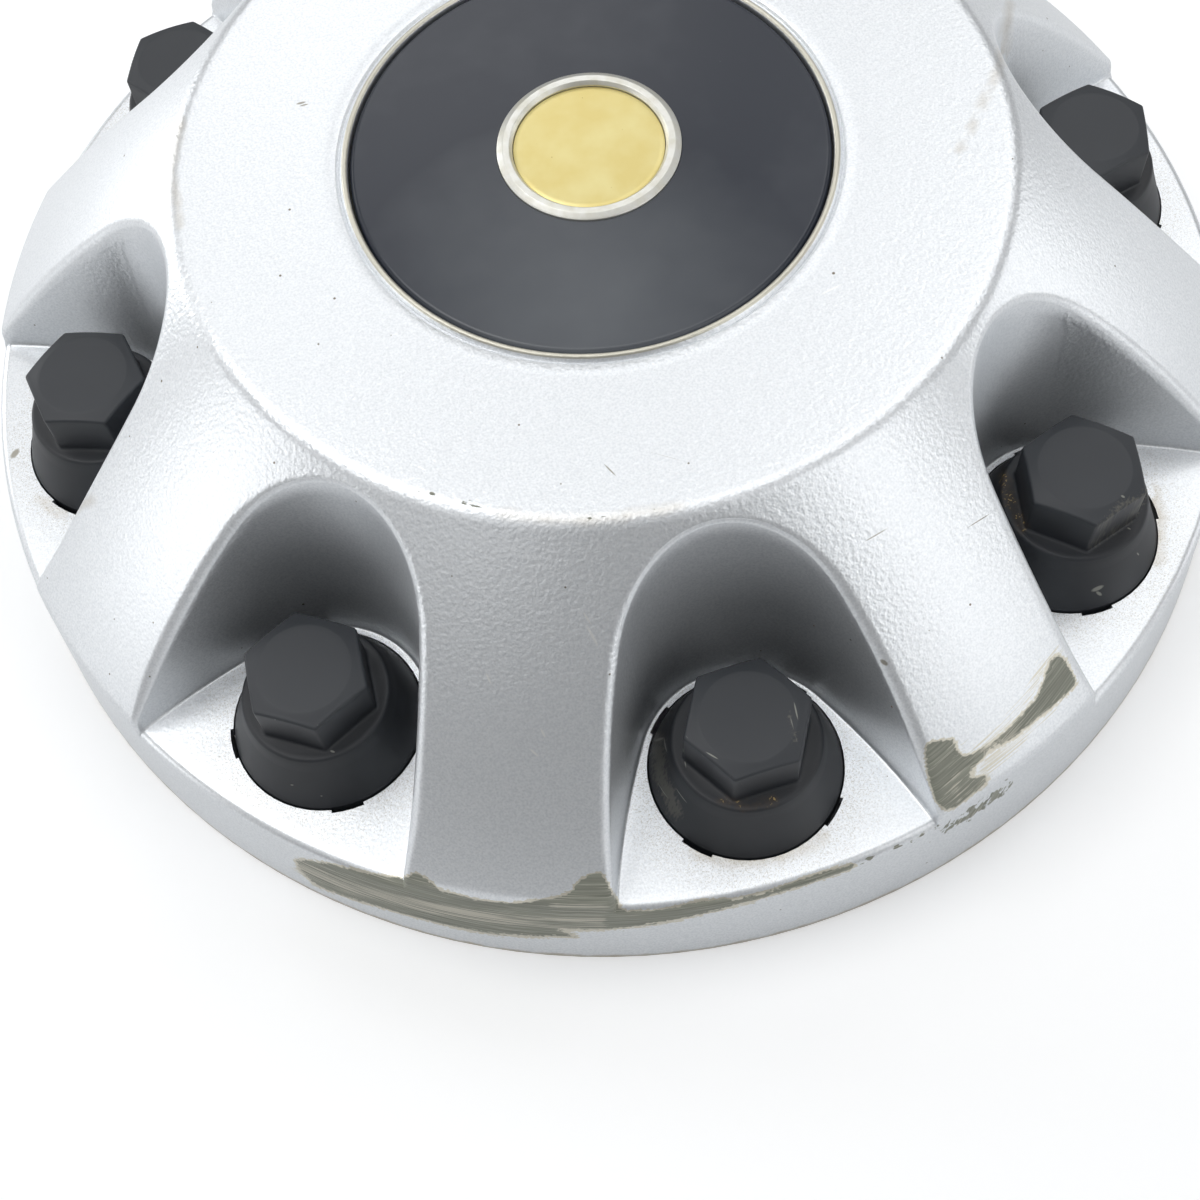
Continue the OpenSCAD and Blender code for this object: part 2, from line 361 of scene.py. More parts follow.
def add_node(tree: NodeTree, kind: str, feeds: dict | None = None, **settings: object) -> Node:
    """Adds a node to a tree.

    Args:
        tree: The tree that gets the node.
        kind: The node's type.
        feeds: For each input, by name or number, the socket or the value that it takes.
        settings: The node's own properties.

    Returns:
        The node.
    """
    made = tree.nodes.new(kind)
    for key, value in settings.items():
        setattr(made, key, value)
    feed(tree, made, feeds or {})
    return made


@dataclass
class CadCopy:
    """A merged copy of a CAD node's mesh, from which faces can be taken away."""

    node: str

    def __post_init__(self) -> None:
        """Reads and merges the node's triangles."""
        work = bmesh.new()
        work.from_mesh(frame["nodes"][self.node].data)
        bmesh.ops.remove_doubles(work, verts=work.verts, dist=WELD)
        self.points = np.array([v.co for v in work.verts]) / MM
        self.faces = np.array([[v.index for v in f.verts] for f in work.faces])
        work.free()

    def corners(self) -> np.ndarray:
        """Each face's three corners."""
        return self.points[self.faces]

    def edges(self) -> np.ndarray:
        """The two ends of each face's first edge, then of the second and of the third."""
        return np.vstack([self.faces[:, [0, 1]], self.faces[:, [1, 2]], self.faces[:, [2, 0]]])

    def normals(self) -> np.ndarray:
        """Each face's outward normal.

        Returns:
            The normals, one a row.
        """
        a, b, c = np.moveaxis(self.corners(), 1, 0)
        across = np.cross(b - a, c - a)
        return across / np.maximum(np.linalg.norm(across, axis=1, keepdims=True), WELD)

    def slivers(self) -> np.ndarray:
        """Finds the faces that are too thin for their normals to be trusted.

        Returns:
            One truth value for each face.
        """
        corners = self.corners()
        sides = np.linalg.norm(corners - np.roll(corners, 1, axis=1), axis=2)
        across = np.cross(corners[:, 1] - corners[:, 0], corners[:, 2] - corners[:, 0])
        thin = 0.02
        return np.linalg.norm(across, axis=1) < thin * sides.max(1)

    def settle(self, marked: np.ndarray, unsure: np.ndarray) -> np.ndarray:
        """Gives unsure faces the mark that most of their neighbours have.

        Args:
            marked: A truth value for each face.
            unsure: The faces whose mark isn't trusted.

        Returns:
            The truth values, with the unsure ones settled.
        """
        order = np.lexsort(np.sort(self.edges(), 1).T)
        pairs = (order % len(self.faces)).reshape(-1, 2)
        weight = np.where(unsure, 0.0, np.where(marked, 1.0, -1.0))
        rounds = 6
        for _ in range(rounds):
            vote = np.zeros(len(self.faces))
            np.add.at(vote, pairs[:, 0], weight[pairs[:, 1]])
            np.add.at(vote, pairs[:, 1], weight[pairs[:, 0]])
            weight = np.where(unsure, np.sign(vote) * 0.5, weight)
        return weight > 0

    def drop(self, gone: np.ndarray) -> None:
        """Takes away the faces marked as gone."""
        self.faces = self.faces[~gone]

    def loops(self) -> list[np.ndarray]:
        """The closed outlines along which faces were taken away.

        Returns:
            Point numbers in order, one array for each outline.
        """
        known = {tuple(edge) for edge in self.edges().tolist()}
        after = {a: b for a, b in known if (b, a) not in known}
        found = []
        while after:
            start, now = after.popitem()
            loop = [start]
            while now != start:
                loop.append(now)
                now = after.pop(now)
            found.append(np.array(loop))
        return found


STUDS = [np.array(joint["pos_m"]) / MM for joint in frame["joints"]]
PITCH = 2 * math.pi / len(STUDS)


@dataclass(frozen=True)
class Crown:
    """The crown's turned form: flat top, shoulder, bulging slope and leaning rim band."""

    rim_r: float = node_box("cap_shell")[1][0]
    floor_h: float = STUDS[0][2]
    bead_h: float = 0.3
    bead_w: float = 0.9
    groove_w: float = 0.9
    groove_depth: float = 0.4
    recess_r: float = 35.55
    recess_h: float = 60.1
    recess_rise: float = 0.3
    shoulder_at: float = 61.6
    shoulder_r: float = 4.0
    slope_foot: float = 2.7
    slope_bulge: float = 1.6
    foot_r: float = 2.4
    lean: float = math.radians(4.3)
    lip_r: float = 1.5

    @property
    def top(self) -> float:
        """Height of the flat top face."""
        return node_box("cap_shell")[1][2] - self.bead_h

    def band_r(self, z: np.ndarray, inset: float = 0.0) -> np.ndarray:
        """Radius of the rim band at a height, set in by an inset."""
        return self.rim_r - z * math.tan(self.lean) - inset / math.cos(self.lean)

    @property
    def lip_centre(self) -> np.ndarray:
        """Centre of the rim's rounded top edge, r and z."""
        z = self.floor_h - self.lip_r
        return np.array([self.band_r(z, self.lip_r), z])

    def lip(self, heading: np.ndarray) -> tuple[np.ndarray, np.ndarray]:
        """Radius and height of the rim's rounded top edge at a heading from its centre."""
        centre = self.lip_centre
        return centre[0] + self.lip_r * np.cos(heading), centre[1] + self.lip_r * np.sin(heading)

    def lip_step(self, z: np.ndarray) -> np.ndarray:
        """Measures how far the rim's top edge lies inside the band.

        Args:
            z: Heights on the edge.

        Returns:
            The steps, level.
        """
        centre = self.lip_centre
        inside = np.clip(self.lip_r**2 - (z - centre[1]) ** 2, 0, None)
        return np.maximum(self.band_r(z) - centre[0] - np.sqrt(inside), 0)

    def outline(self) -> Outline:
        """The outline from the foot of the badge's recess out and down to the wheel.

        Returns:
            The outline, with marks at the recess's edge, the bead, the groove, the flat top,
            the shoulder, the slope, its foot and the bottom of the band.
        """
        a = np.array([self.shoulder_at, self.top])
        foot_z = self.floor_h + self.slope_foot
        b = np.array([self.band_r(foot_z), foot_z])
        span = np.linalg.norm(b - a)
        radius = (span**2 / 4 + self.slope_bulge**2) / (2 * self.slope_bulge)
        normal = np.array([a[1] - b[1], b[0] - a[0]]) / span
        centre = (a + b) / 2 - normal * (radius - self.slope_bulge)

        drop = self.top - self.shoulder_r - centre[1]
        shoulder = np.array(
            [centre[0] + math.sqrt((radius - self.shoulder_r) ** 2 - drop**2), self.top - self.shoulder_r]
        )
        up = np.array([-math.sin(self.lean), math.cos(self.lean)])
        start = np.array([self.band_r(0.0, self.foot_r), 0]) - centre
        half = start @ up
        reach = math.sqrt(half**2 - start @ start + (radius - self.foot_r) ** 2)
        foot = centre + start + up * (reach - half)

        over = math.atan2(*(shoulder - centre)[::-1])
        under = math.atan2(*(foot - centre)[::-1])
        foot_end = foot + self.foot_r * np.array([math.cos(self.lean), math.sin(self.lean)])
        fine = 80
        return Outline(
            [
                line((self.recess_r, self.recess_h + self.recess_rise), (self.recess_r, self.top), 4),
                self.bead(), self.groove(),
                line((self.recess_r + self.bead_w + self.groove_w, self.top), (shoulder[0], self.top), 4),
                arc(shoulder, self.shoulder_r, math.pi / 2, over, fine),
                arc(centre, radius, over, under, 8 * fine),
                arc(foot, self.foot_r, under, self.lean, fine), line(foot_end, (self.rim_r, 0), 4),
            ]
        )

    def bead(self) -> np.ndarray:
        """Draws the raised bead round the recess.

        Returns:
            Rows of the outline.
        """
        t = np.linspace(0, 1, 25)
        r = self.recess_r + self.bead_w * t
        z = self.top + self.bead_h * (1 - np.abs(2 * t - 1) ** 2.6)
        return with_normals(r, z)

    def groove(self) -> np.ndarray:
        """Draws the soft groove outside the bead.

        Returns:
            Rows of the outline.
        """
        t = np.linspace(0, 1, 25)
        r = self.recess_r + self.bead_w + self.groove_w * t
        z = self.top - self.groove_depth * np.sin(math.pi * t) ** 1.6
        return with_normals(r, z)


def with_normals(r: np.ndarray, z: np.ndarray) -> np.ndarray:
    """Finds the normals of a curve whose upper side is outside.

    Args:
        r: The points' radii.
        z: Their heights.

    Returns:
        Rows of r, z, normal r and normal z.
    """
    along = np.stack([np.gradient(r), np.gradient(z)], -1)
    along /= np.linalg.norm(along, axis=1, keepdims=True)
    return np.c_[r, z, -along[:, 1], along[:, 0]]


@dataclass(frozen=True)
class Pocket:
    """One pocket's wall, in a frame whose x axis runs out from the axle through the stud."""

    stud_r: float = float(np.hypot(*STUDS[0][:2]))
    floor_h: float = STUDS[0][2]
    nose_r: float = 15.7
    side_r: float = 118.0
    side_start: float = math.radians(120)
    side_end: float = math.radians(70)
    draft: float = math.radians(4.4)

    def centre(self, heading: np.ndarray) -> tuple[np.ndarray, np.ndarray, np.ndarray]:
        """Finds the arc that the wall follows at a heading.

        Args:
            heading: Direction from the centre, radians.

        Returns:
            Its centre, x and y, and its radius at floor height.
        """
        nose = heading >= self.side_start
        x = np.where(nose, 0, -(self.side_r - self.nose_r) * math.cos(self.side_start))
        y = np.where(nose, 0, -(self.side_r - self.nose_r) * math.sin(self.side_start))
        return self.stud_r + x, y, np.where(nose, self.nose_r, self.side_r)

    def wall(self, heading: np.ndarray, z: np.ndarray, grow: float | np.ndarray = 0.0) -> np.ndarray:
        """Points on the wall.

        Args:
            heading: Direction from the arc's centre, radians.
            z: Height.
            grow: How far outside the wall, level.

        Returns:
            Points with x, y and z on the last axis.
        """
        x, y, radius = self.centre(heading)
        radius = radius + (z - self.floor_h) * math.tan(self.draft) + grow
        return np.stack(
            np.broadcast_arrays(x + radius * np.cos(heading), y + radius * np.sin(heading), z), -1
        )

    def heading_at(self, r: np.ndarray, z: np.ndarray, grow: float | np.ndarray = 0.0) -> np.ndarray:
        """Finds the heading at which the wall is at some distance from the axle.

        Args:
            r: The distances.
            z: Heights.
            grow: How far outside the wall, level.

        Returns:
            The headings, radians.
        """
        # The wall comes nearer to the axle as its heading nears half a turn
        low, high = np.full_like(r, self.side_end), np.full_like(r, math.pi)
        return bisect(lambda h: r - from_axle(self.wall(h, z, grow)), low, high)

    def normal(self, heading: np.ndarray) -> np.ndarray:
        """Finds the wall's normal, which points into the pocket.

        Args:
            heading: Direction from the arc's centre, radians.

        Returns:
            The normals.
        """
        level = -math.cos(self.draft)
        return np.stack(
            np.broadcast_arrays(level * np.cos(heading), level * np.sin(heading), math.sin(self.draft)),
            -1,
        )

    def heading(self, points: np.ndarray) -> np.ndarray:
        """Finds the heading at which points lie on the wall.

        Args:
            points: Points on the wall.

        Returns:
            The headings, radians.
        """
        nose = np.arctan2(points[..., 1], points[..., 0] - self.stud_r)
        x, y, _ = self.centre(np.zeros_like(nose))
        side = np.arctan2(points[..., 1] - y, points[..., 0] - x)
        return np.where(nose >= self.side_start, nose, side)


class Shell:
    """The silver-painted moulding that carries everything else."""

    node = "cap_shell"
    edge_r = 2.2
    edge_r_foot = 0.9
    edge_grows = (19.0, 31.0)
    edge_crease = 0.26
    wall_fillet = 0.7
    wall_fillet_nose = 0.5
    ridge_columns = 18
    edge_rows = 8
    wall_rows = 13
    fillet_rows = 4
    chain_rows = 58
    lip_rows = 9
    lip_columns = 16
    band_rows = 17
    band_end = 0.6
    hole_r = (14.4, 15.5)
    spray_reach = 8.0
    floor_margin = 2.3
    edge_margin = 2.25
    smooth_below = 25.0
    wall_peel = 0.1
    shell_grit = 0.12

    def __init__(self) -> None:
        """Takes the sizes of the crown and the pockets."""
        self.crown = Crown()
        self.pocket = Pocket()
        self.outline = self.crown.outline()
        self.apex = self.find_apex()
        self.band_top = self.outline.length[-1] - self.crown.lip_centre[1] / math.cos(self.crown.lean)

    def edge_radius(self, z: np.ndarray) -> np.ndarray:
        """Gives the rounding along the pocket's edge, which is none where the lip begins.

        Args:
            z: Heights along the edge.

        Returns:
            The rounding's radius at each.
        """
        low, high = self.edge_grows
        radius = self.edge_r_foot + (self.edge_r - self.edge_r_foot) * ease((z - low) / (high - low))
        near_lip = z < self.crown.floor_h
        return np.where(near_lip, np.minimum(radius, 0.6 * self.crown.lip_step(z)), radius)

    def ball(self, s: np.ndarray, angle: float | None = None) -> dict[str, np.ndarray]:
        """Sets a ball against the crown and the pocket's wall from inside the moulding.

        Args:
            s: Lengths along the crown's outline where the ball touches it.
            angle: The heading along the wall, if it is known.

        Returns:
            The ball's centre, radius and heading, the two normals, the angle between them and
            the crease that is left between the ball and the wall.
        """
        r, z, nr, nz = np.moveaxis(self.outline.at(s), -1, 0)
        radius = self.edge_radius(z)
        crease = np.full_like(r, math.radians(15))
        for _ in range(5):
            grow = radius * np.cos(crease) / math.cos(self.pocket.draft)
            r_in, z_in = r - radius * nr, z - radius * nz
            if angle is None:
                heading = self.pocket.heading_at(r_in, z_in, grow)
            else:
                heading = np.full_like(r, angle)
            centre = self.pocket.wall(heading, z_in, grow)
            turn = np.arctan2(centre[..., 1], centre[..., 0])
            up = polar(nr, turn, nz)
            side = self.pocket.normal(heading)
            between = np.arccos(np.clip((up * side).sum(-1), -1, 1))
            crease = self.edge_crease * between
        return {
            "centre": centre, "radius": radius, "turn": turn, "up": up, "side": side,
            "between": between, "crease": crease, "r": r, "z": z,
        }

    def find_apex(self) -> float:
        """Finds where the rounding begins, over the pocket's inner end.

        Returns:
            The length along the outline.
        """

        def short(s: np.ndarray) -> np.ndarray:
            """Measures how far the ball touches outside its centre's line.

            Args:
                s: Lengths along the outline.

            Returns:
                The distances.
            """
            found = self.ball(s, angle=math.pi)
            r, _, nr, _ = np.moveaxis(self.outline.at(s), -1, 0)
            return r - found["radius"] * nr - found["centre"][..., 0]

        top, foot = self.outline.marks[3], self.outline.marks[5]
        return float(bisect(short, np.array([top]), np.array([foot]))[0])

    def edge_arcs(self, found: dict[str, np.ndarray]) -> np.ndarray:
        """Draws the rounding from the crown to the wall.

        Args:
            found: Balls set against both.

        Returns:
            A row of points for each ball.
        """
        t = np.linspace(0, 1, self.edge_rows + 1)[None, :, None]
        between = found["between"][:, None, None]
        swing = (between - found["crease"][:, None, None]) * t
        across = np.sin(between - swing) * found["up"][:, None] + np.sin(swing) * found["side"][:, None]
        across /= np.sin(between)
        return found["centre"][:, None] + found["radius"][:, None, None] * across

    def stations(self) -> tuple[np.ndarray, np.ndarray]:
        """Where the rows along the pocket's edge stand.

        Returns:
            Lengths along the crown's outline from the apex to where the lip begins, and from
            there to the band below the lip, both evenly spaced along the edge.
        """
        dense = self.apex + (self.band_top - self.apex) * np.linspace(0, 1, 1500) ** 2
        found = self.ball(dense)
        along = np.r_[0, np.cumsum(np.linalg.norm(np.diff(found["centre"], axis=0), axis=1))]
        ends = self.edge_arcs(found)[:, -1]
        heading = self.pocket.heading(ends)
        lip_start = self.pocket.heading_at(self.crown.lip_centre[0], self.crown.floor_h)
        turn_in = np.interp(-lip_start, -heading, along)
        first = np.interp(np.linspace(0, turn_in, self.chain_rows + 1), along, dense)
        last = np.interp(np.linspace(turn_in, along[-1], self.lip_rows + 1), along, dense)
        return first, last

    def fillet(self, wall_end: np.ndarray, corner: np.ndarray, floor_end: np.ndarray) -> np.ndarray:
        """Rows of points across the hollow rounding at the wall's foot.

        Args:
            wall_end: Where it leaves the wall.
            corner: Where the wall would meet the floor.
            floor_end: Where it runs into the floor.

        Returns:
            Points from the wall to the floor, one row for each corner.
        """
        t = np.linspace(0, 1, self.fillet_rows + 1)[None, :, None]
        return (
            (1 - t) ** 2 * wall_end[:, None] + 2 * t * (1 - t) * corner[:, None]
            + t**2 * floor_end[:, None]
        )

    def chain(self) -> tuple[np.ndarray, np.ndarray]:
        """The rows that run from the ridge's middle over its edge and down the pocket's wall.

        Returns:
            The rows as a table of points, and the lip's points between the pocket's middle
            and the ends of the last rows.
        """
        first, last = self.stations()
        s = np.r_[first, last[1:]]
        found = self.ball(s)
        arcs = self.edge_arcs(found)
        top = arcs[:, -1]
        heading_top = self.pocket.heading(top)

        rows = len(s)
        beside = ease((math.radians(116) - heading_top) / math.radians(22))
        reach = self.wall_fillet_nose + (self.wall_fillet - self.wall_fillet_nose) * beside
        reach = reach * math.tan((math.pi / 2 - self.pocket.draft) / 2)
        psi = np.linspace(math.pi / 2, self.crown.lean, self.lip_rows + 1)
        lip_r, lip_z = self.crown.lip(psi)
        low_z = np.full(rows, self.crown.floor_h)
        low_heading = heading_top.copy()
        low_z[-self.lip_rows - 1 :] = lip_z
        low_heading[-self.lip_rows - 1 :] = self.pocket.heading_at(lip_r, lip_z)
        shrink = np.ones(rows)
        shrink[-self.lip_rows - 1 :] = self.crown.lip_step(lip_z) / self.crown.lip_step(
            np.array(self.crown.floor_h)
        )
        reach = reach * shrink

        foot_z = low_z + reach * math.cos(self.pocket.draft)
        t = np.linspace(0, 1, self.wall_rows + 1)[None, :]
        heading = heading_top[:, None] * (1 - t) + low_heading[:, None] * t
        height = top[:, 2:] * (1 - t) + foot_z[:, None] * t
        wall = self.pocket.wall(heading, height)
        # The rounding's last row leaves the wall by a hair, which the wall's first rows take up
        wall += (top - wall[:, 0])[:, None] * (1 - t)[..., None] ** 4

        corner = self.pocket.wall(low_heading, low_z)
        level = self.pocket.wall(low_heading, low_z, -reach)
        turn = np.arctan2(corner[:, 1], corner[:, 0]) - reach / from_axle(corner)
        on_lip = polar(from_axle(corner), turn, low_z)
        # The floor's side of the hollow rounding goes over from the wall's own direction to the lip's
        share = ease((np.arange(rows) - rows + 2 * self.lip_rows) / self.lip_rows)[:, None]
        floor_end = level * (1 - share) + on_lip * share
        floor_end[: -self.lip_rows - 1, 2] = self.crown.floor_h
        hollow = self.fillet(wall[:, -1], corner, floor_end)

        t = np.linspace(0, 1, self.ridge_columns + 1)[None, :]
        turns = PITCH / 2 * (1 - t) + found["turn"][:, None] * t
        ridge = polar(found["r"][:, None], turns, found["z"][:, None])
        table = np.concatenate([ridge, arcs[:, 1:], wall[:, 1:], hollow[:, 1:]], 1)

        ends = table[-self.lip_rows - 1 :, -1]
        t = np.linspace(1, 0, self.lip_columns + 1)[None, :]
        lip = polar(lip_r[:, None], np.arctan2(ends[:, 1], ends[:, 0])[:, None] * t, lip_z[:, None])
        lip[:, 0] = ends

        # The last row lies on the band itself, with its crowded middle spread a little
        spread = 1.0 / self.crown.rim_r
        middle = float(np.arctan2(corner[-1, 1], corner[-1, 0]))
        crowded = self.edge_rows + self.wall_rows + self.fillet_rows
        turns = np.r_[
            np.linspace(PITCH / 2, middle + spread, self.ridge_columns + 1),
            np.linspace(middle + spread, middle - spread, crowded + 1)[1:],
        ]
        table[-1] = polar(lip_r[-1], turns, lip_z[-1])
        lip[-1] = polar(lip_r[-1], np.linspace(middle - spread, 0, self.lip_columns + 1), lip_z[-1])
        return table, lip

    def top_rows(self) -> np.ndarray:
        """Draws the crown from the badge's recess out to the pocket's apex.

        Returns:
            Rows of points.
        """
        marks = self.outline.marks
        counts = [4, 10, 10, 10, 9, 3]
        stops = [0.0, *marks[:5], self.apex]
        pieces = [np.linspace(a, b, n + 1)[:-1] for a, b, n in zip(stops[:-1], stops[1:], counts)]
        s = np.concatenate(pieces)
        r, z, _, _ = np.moveaxis(self.outline.at(s), -1, 0)
        turns = np.linspace(PITCH / 2, 0, self.ridge_columns + 1)
        return polar(r[:, None], turns[None, :], z[:, None])

    def half_sector(self) -> tuple[Object, np.ndarray]:
        """One side of one pocket with its half of the ridge, as the unit that is repeated.

        Returns:
            The object, and half the outline of the pocket's floor.
        """
        skin = Skin()
        rows, lip = self.chain()
        chain = skin.add(rows)
        above = skin.add(self.top_rows())
        skin.grid(np.vstack([above, chain[:1, : self.ridge_columns + 1]]))
        skin.grid(chain)
        lips = skin.add(lip)
        lips[:, 0] = chain[-self.lip_rows - 1 :, -1]
        skin.grid(lips)

        start = np.r_[rows[-1], lip[-1, 1:]]
        turns = np.arctan2(start[:, 1], start[:, 0])
        even = np.linspace(PITCH / 2, 0, len(turns))
        z = np.linspace(self.crown.lip_centre[1], self.band_end, self.band_rows + 1)[1:]
        share = ease((self.crown.lip_centre[1] - z) / 9)[:, None]
        band = polar(self.crown.band_r(z)[:, None], turns * (1 - share) + even * share, z[:, None])
        first = np.r_[chain[-1], lips[-1, 1:]]
        skin.grid(np.vstack([first, skin.add(band)]))

        half = np.vstack([lip[0, ::-1], rows[: -self.lip_rows - 1, -1][::-1]])
        return place("half_sector", skin.mesh("half_sector")), half

    def build(self) -> Object:
        """Makes the whole shell: painted outside, floors, and bare moulding below.

        Returns:
            The shell.
        """
        unit, half = self.half_sector()
        outside = repeat_sectors(unit, len(STUDS))
        skin = Skin()
        start = skin.add(positions(outside))
        skin.cover([[start[i] for i in f.vertices] for f in outside.polygons])

        under = CadCopy(self.node)
        self.strip_outside(under)
        below = skin.add(under.points)
        painted = self.overspray(under)
        skin.cover(below[under.faces[painted]])
        skin.cover(below[under.faces[~painted]], kind=1)
        self.close_rings(skin, under, below, outside)
        bpy.data.meshes.remove(outside)
        full = np.vstack([half, (half * [1, -1, 1])[-2:0:-1]])
        for k in range(len(STUDS)):
            self.fill_floor(skin, turned(full, k * PITCH), under, below)
        mesh = skin.tidy().mesh(self.node)
        smooth(mesh, 38)
        self.set_texture(mesh)
        return place("painted_shell", mesh)

    def set_texture(self, mesh: Mesh) -> None:
        """Stores how strong the orange peel is, and how gritty, at each point.

        Args:
            mesh: The shell's mesh.
        """
        crown, points = self.crown, positions(mesh)
        r, z = from_axle(points), points[:, 2]
        gaps = [from_axle(points - stud) for stud in STUDS]
        gap, nearest = np.min(gaps, axis=0), np.argmin(gaps, axis=0)
        sector = points.copy()
        for k in range(len(STUDS)):
            mine = nearest == k
            sector[mine] = turned(points[mine], -k * PITCH)
        heading = self.pocket.heading(sector * [1, -1, 1])
        heading = np.maximum(heading, self.pocket.heading(sector))
        wall = self.pocket.wall(heading, z)
        off = np.hypot(sector[:, 0] - wall[:, 0], np.abs(sector[:, 1]) - wall[:, 1])
        on_wall = (off < 0.3) & (z > crown.floor_h + 0.2) & (r < crown.rim_r)
        peel = 0.35 + 0.65 * ease((z - self.smooth_below) / self.smooth_below)
        set_field(mesh, "peel", np.where(on_wall, self.wall_peel, peel))
        on_bead = (r > crown.recess_r - NEAR) & (r < crown.recess_r + crown.bead_w)
        set_field(mesh, "bead", 1.0 * (on_bead & (z > crown.top + 0.05)))
        on_floor = np.abs(z - crown.floor_h) < 0.05
        grit = np.where(on_floor, 1 - 0.8 * ease((gap - 15) / 9), self.shell_grit)
        set_field(mesh, "grit", np.where(on_wall, 0, grit))

    def overspray(self, under: CadCopy) -> np.ndarray:
        """Finds the faces in the floors' holes, where the paint got in.

        Args:
            under: The copy of the moulding.

        Returns:
            One truth value for each face.
        """
        middle, normals = under.corners().mean(1), under.normals()
        gap = np.min([from_axle(middle - stud) for stud in STUDS], axis=0)
        in_hole = (gap > self.hole_r[0]) & (gap < self.hole_r[1])
        reached = middle[:, 2] > self.crown.floor_h - self.spray_reach
        not_below = normals[:, 2] > -0.5
        return in_hole & reached & not_below

    def strip_outside(self, under: CadCopy) -> None:
        """Leaves only what is below the shell, inside its holes and on the recess's floor.

        Args:
            under: The copy of the moulding.
        """
        crown, corners = self.crown, under.corners()
        middle, radii = corners.mean(1), from_axle(corners)
        r, z = from_axle(middle), middle[:, 2]
        recess_floor = (np.abs(corners[..., 2] - crown.recess_h) < NEAR).all(1)
        low_floor, rim_edge = crown.floor_h - self.floor_margin, crown.rim_r - self.edge_margin
        facing_up = under.normals()[:, 2] > 0.03
        upward = facing_up & ((z > low_floor) | (r > rim_edge)) & ~recess_floor
        bead = (corners[..., 2] > crown.top - crown.groove_depth - 0.05).all(1)
        at_wall = (np.abs(radii - crown.recess_r) < 0.05).all(1)
        under.drop(under.settle(upward | bead | at_wall & (z > crown.recess_h), under.slivers()))

    def close_rings(self, skin: Skin, under: CadCopy, below: np.ndarray, outside: Mesh) -> None:
        """Joins the outside's inner and outer rings to the moulding below.

        Args:
            skin: The skin that holds both.
            under: The copy of the moulding.
            below: The copy's point numbers in the skin.
            outside: The painted outside, first in the skin.
        """
        points = positions(outside)
        r = from_axle(points)
        low = np.flatnonzero(np.abs(points[:, 2] - self.band_end) < 0.001)
        low_wall = points[:, 2] < self.crown.recess_h + self.crown.recess_rise + NEAR
        inner = np.flatnonzero((r < self.crown.recess_r + NEAR) & low_wall)
        for loop in under.loops():
            loop_r = from_axle(under.points[loop])
            if loop_r.min() > self.crown.rim_r - 0.1:
                skin.zip_rings(below[loop], low)
            elif abs(loop_r.mean() - self.crown.recess_r) < 0.1:
                skin.zip_rings(below[loop], inner)

    def fill_floor(self, skin: Skin, outline: np.ndarray, under: CadCopy, below: np.ndarray) -> None:
        """Covers one pocket's floor between its outline and the holes in it.

        Args:
            skin: The skin that gets the floor.
            outline: The floor's outline.
            under: The copy whose holes the floor goes round.
            below: The copy's point numbers in the skin.
        """
        loops = [
            loop
            for loop in under.loops()
            if (np.abs(under.points[loop, 2] - self.crown.floor_h) < 0.01).all()
            and in_loops(under.points[loop[:1], :2], [outline[:, :2]])[0]
        ]
        numbers = np.concatenate([skin.add(outline), *[below[loop] for loop in loops]])
        rings = [outline, *[under.points[loop] for loop in loops]]
        flat = np.vstack(rings)
        edges, first = [], 0
        for ring in rings:
            k = np.arange(len(ring))
            edges += np.c_[first + k, first + (k + 1) % len(ring)].tolist()
            first += len(ring)
        grain = self.floor_points(outline, rings)
        numbers = np.r_[numbers, skin.add(grain)]
        flat = np.vstack([flat, grain])
        found = delaunay_2d_cdt([Vector(p[:2]) for p in flat], edges, [], 0, 1e-7)
        source = [number[0] for number in found[3]]
        faces = np.array([[source[i] for i in face] for face in found[2]])
        inside = in_loops(flat[faces].mean(1)[:, :2], rings)
        skin.cover(numbers[faces[inside]])

    def floor_points(self, outline: np.ndarray, rings: Sequence[np.ndarray]) -> np.ndarray:
        """Spreads points over a floor, clear of its outlines.

        Args:
            outline: The floor's outline.
            rings: That outline and those of its holes.

        Returns:
            The points.
        """
        step, clear = 1.5, 0.8
        low, high = outline[:, :2].min(0), outline[:, :2].max(0)
        x, y = np.meshgrid(np.arange(low[0], high[0], step), np.arange(low[1], high[1], step))
        flat = np.c_[x.ravel(), y.ravel()]
        flat = flat[in_loops(flat, rings)]
        border = np.vstack(rings)[:, :2]
        gap = np.min(np.linalg.norm(flat[:, None] - border[None], axis=2), axis=1)
        flat = flat[gap > clear]
        return np.c_[flat, np.full(len(flat), self.crown.floor_h)]


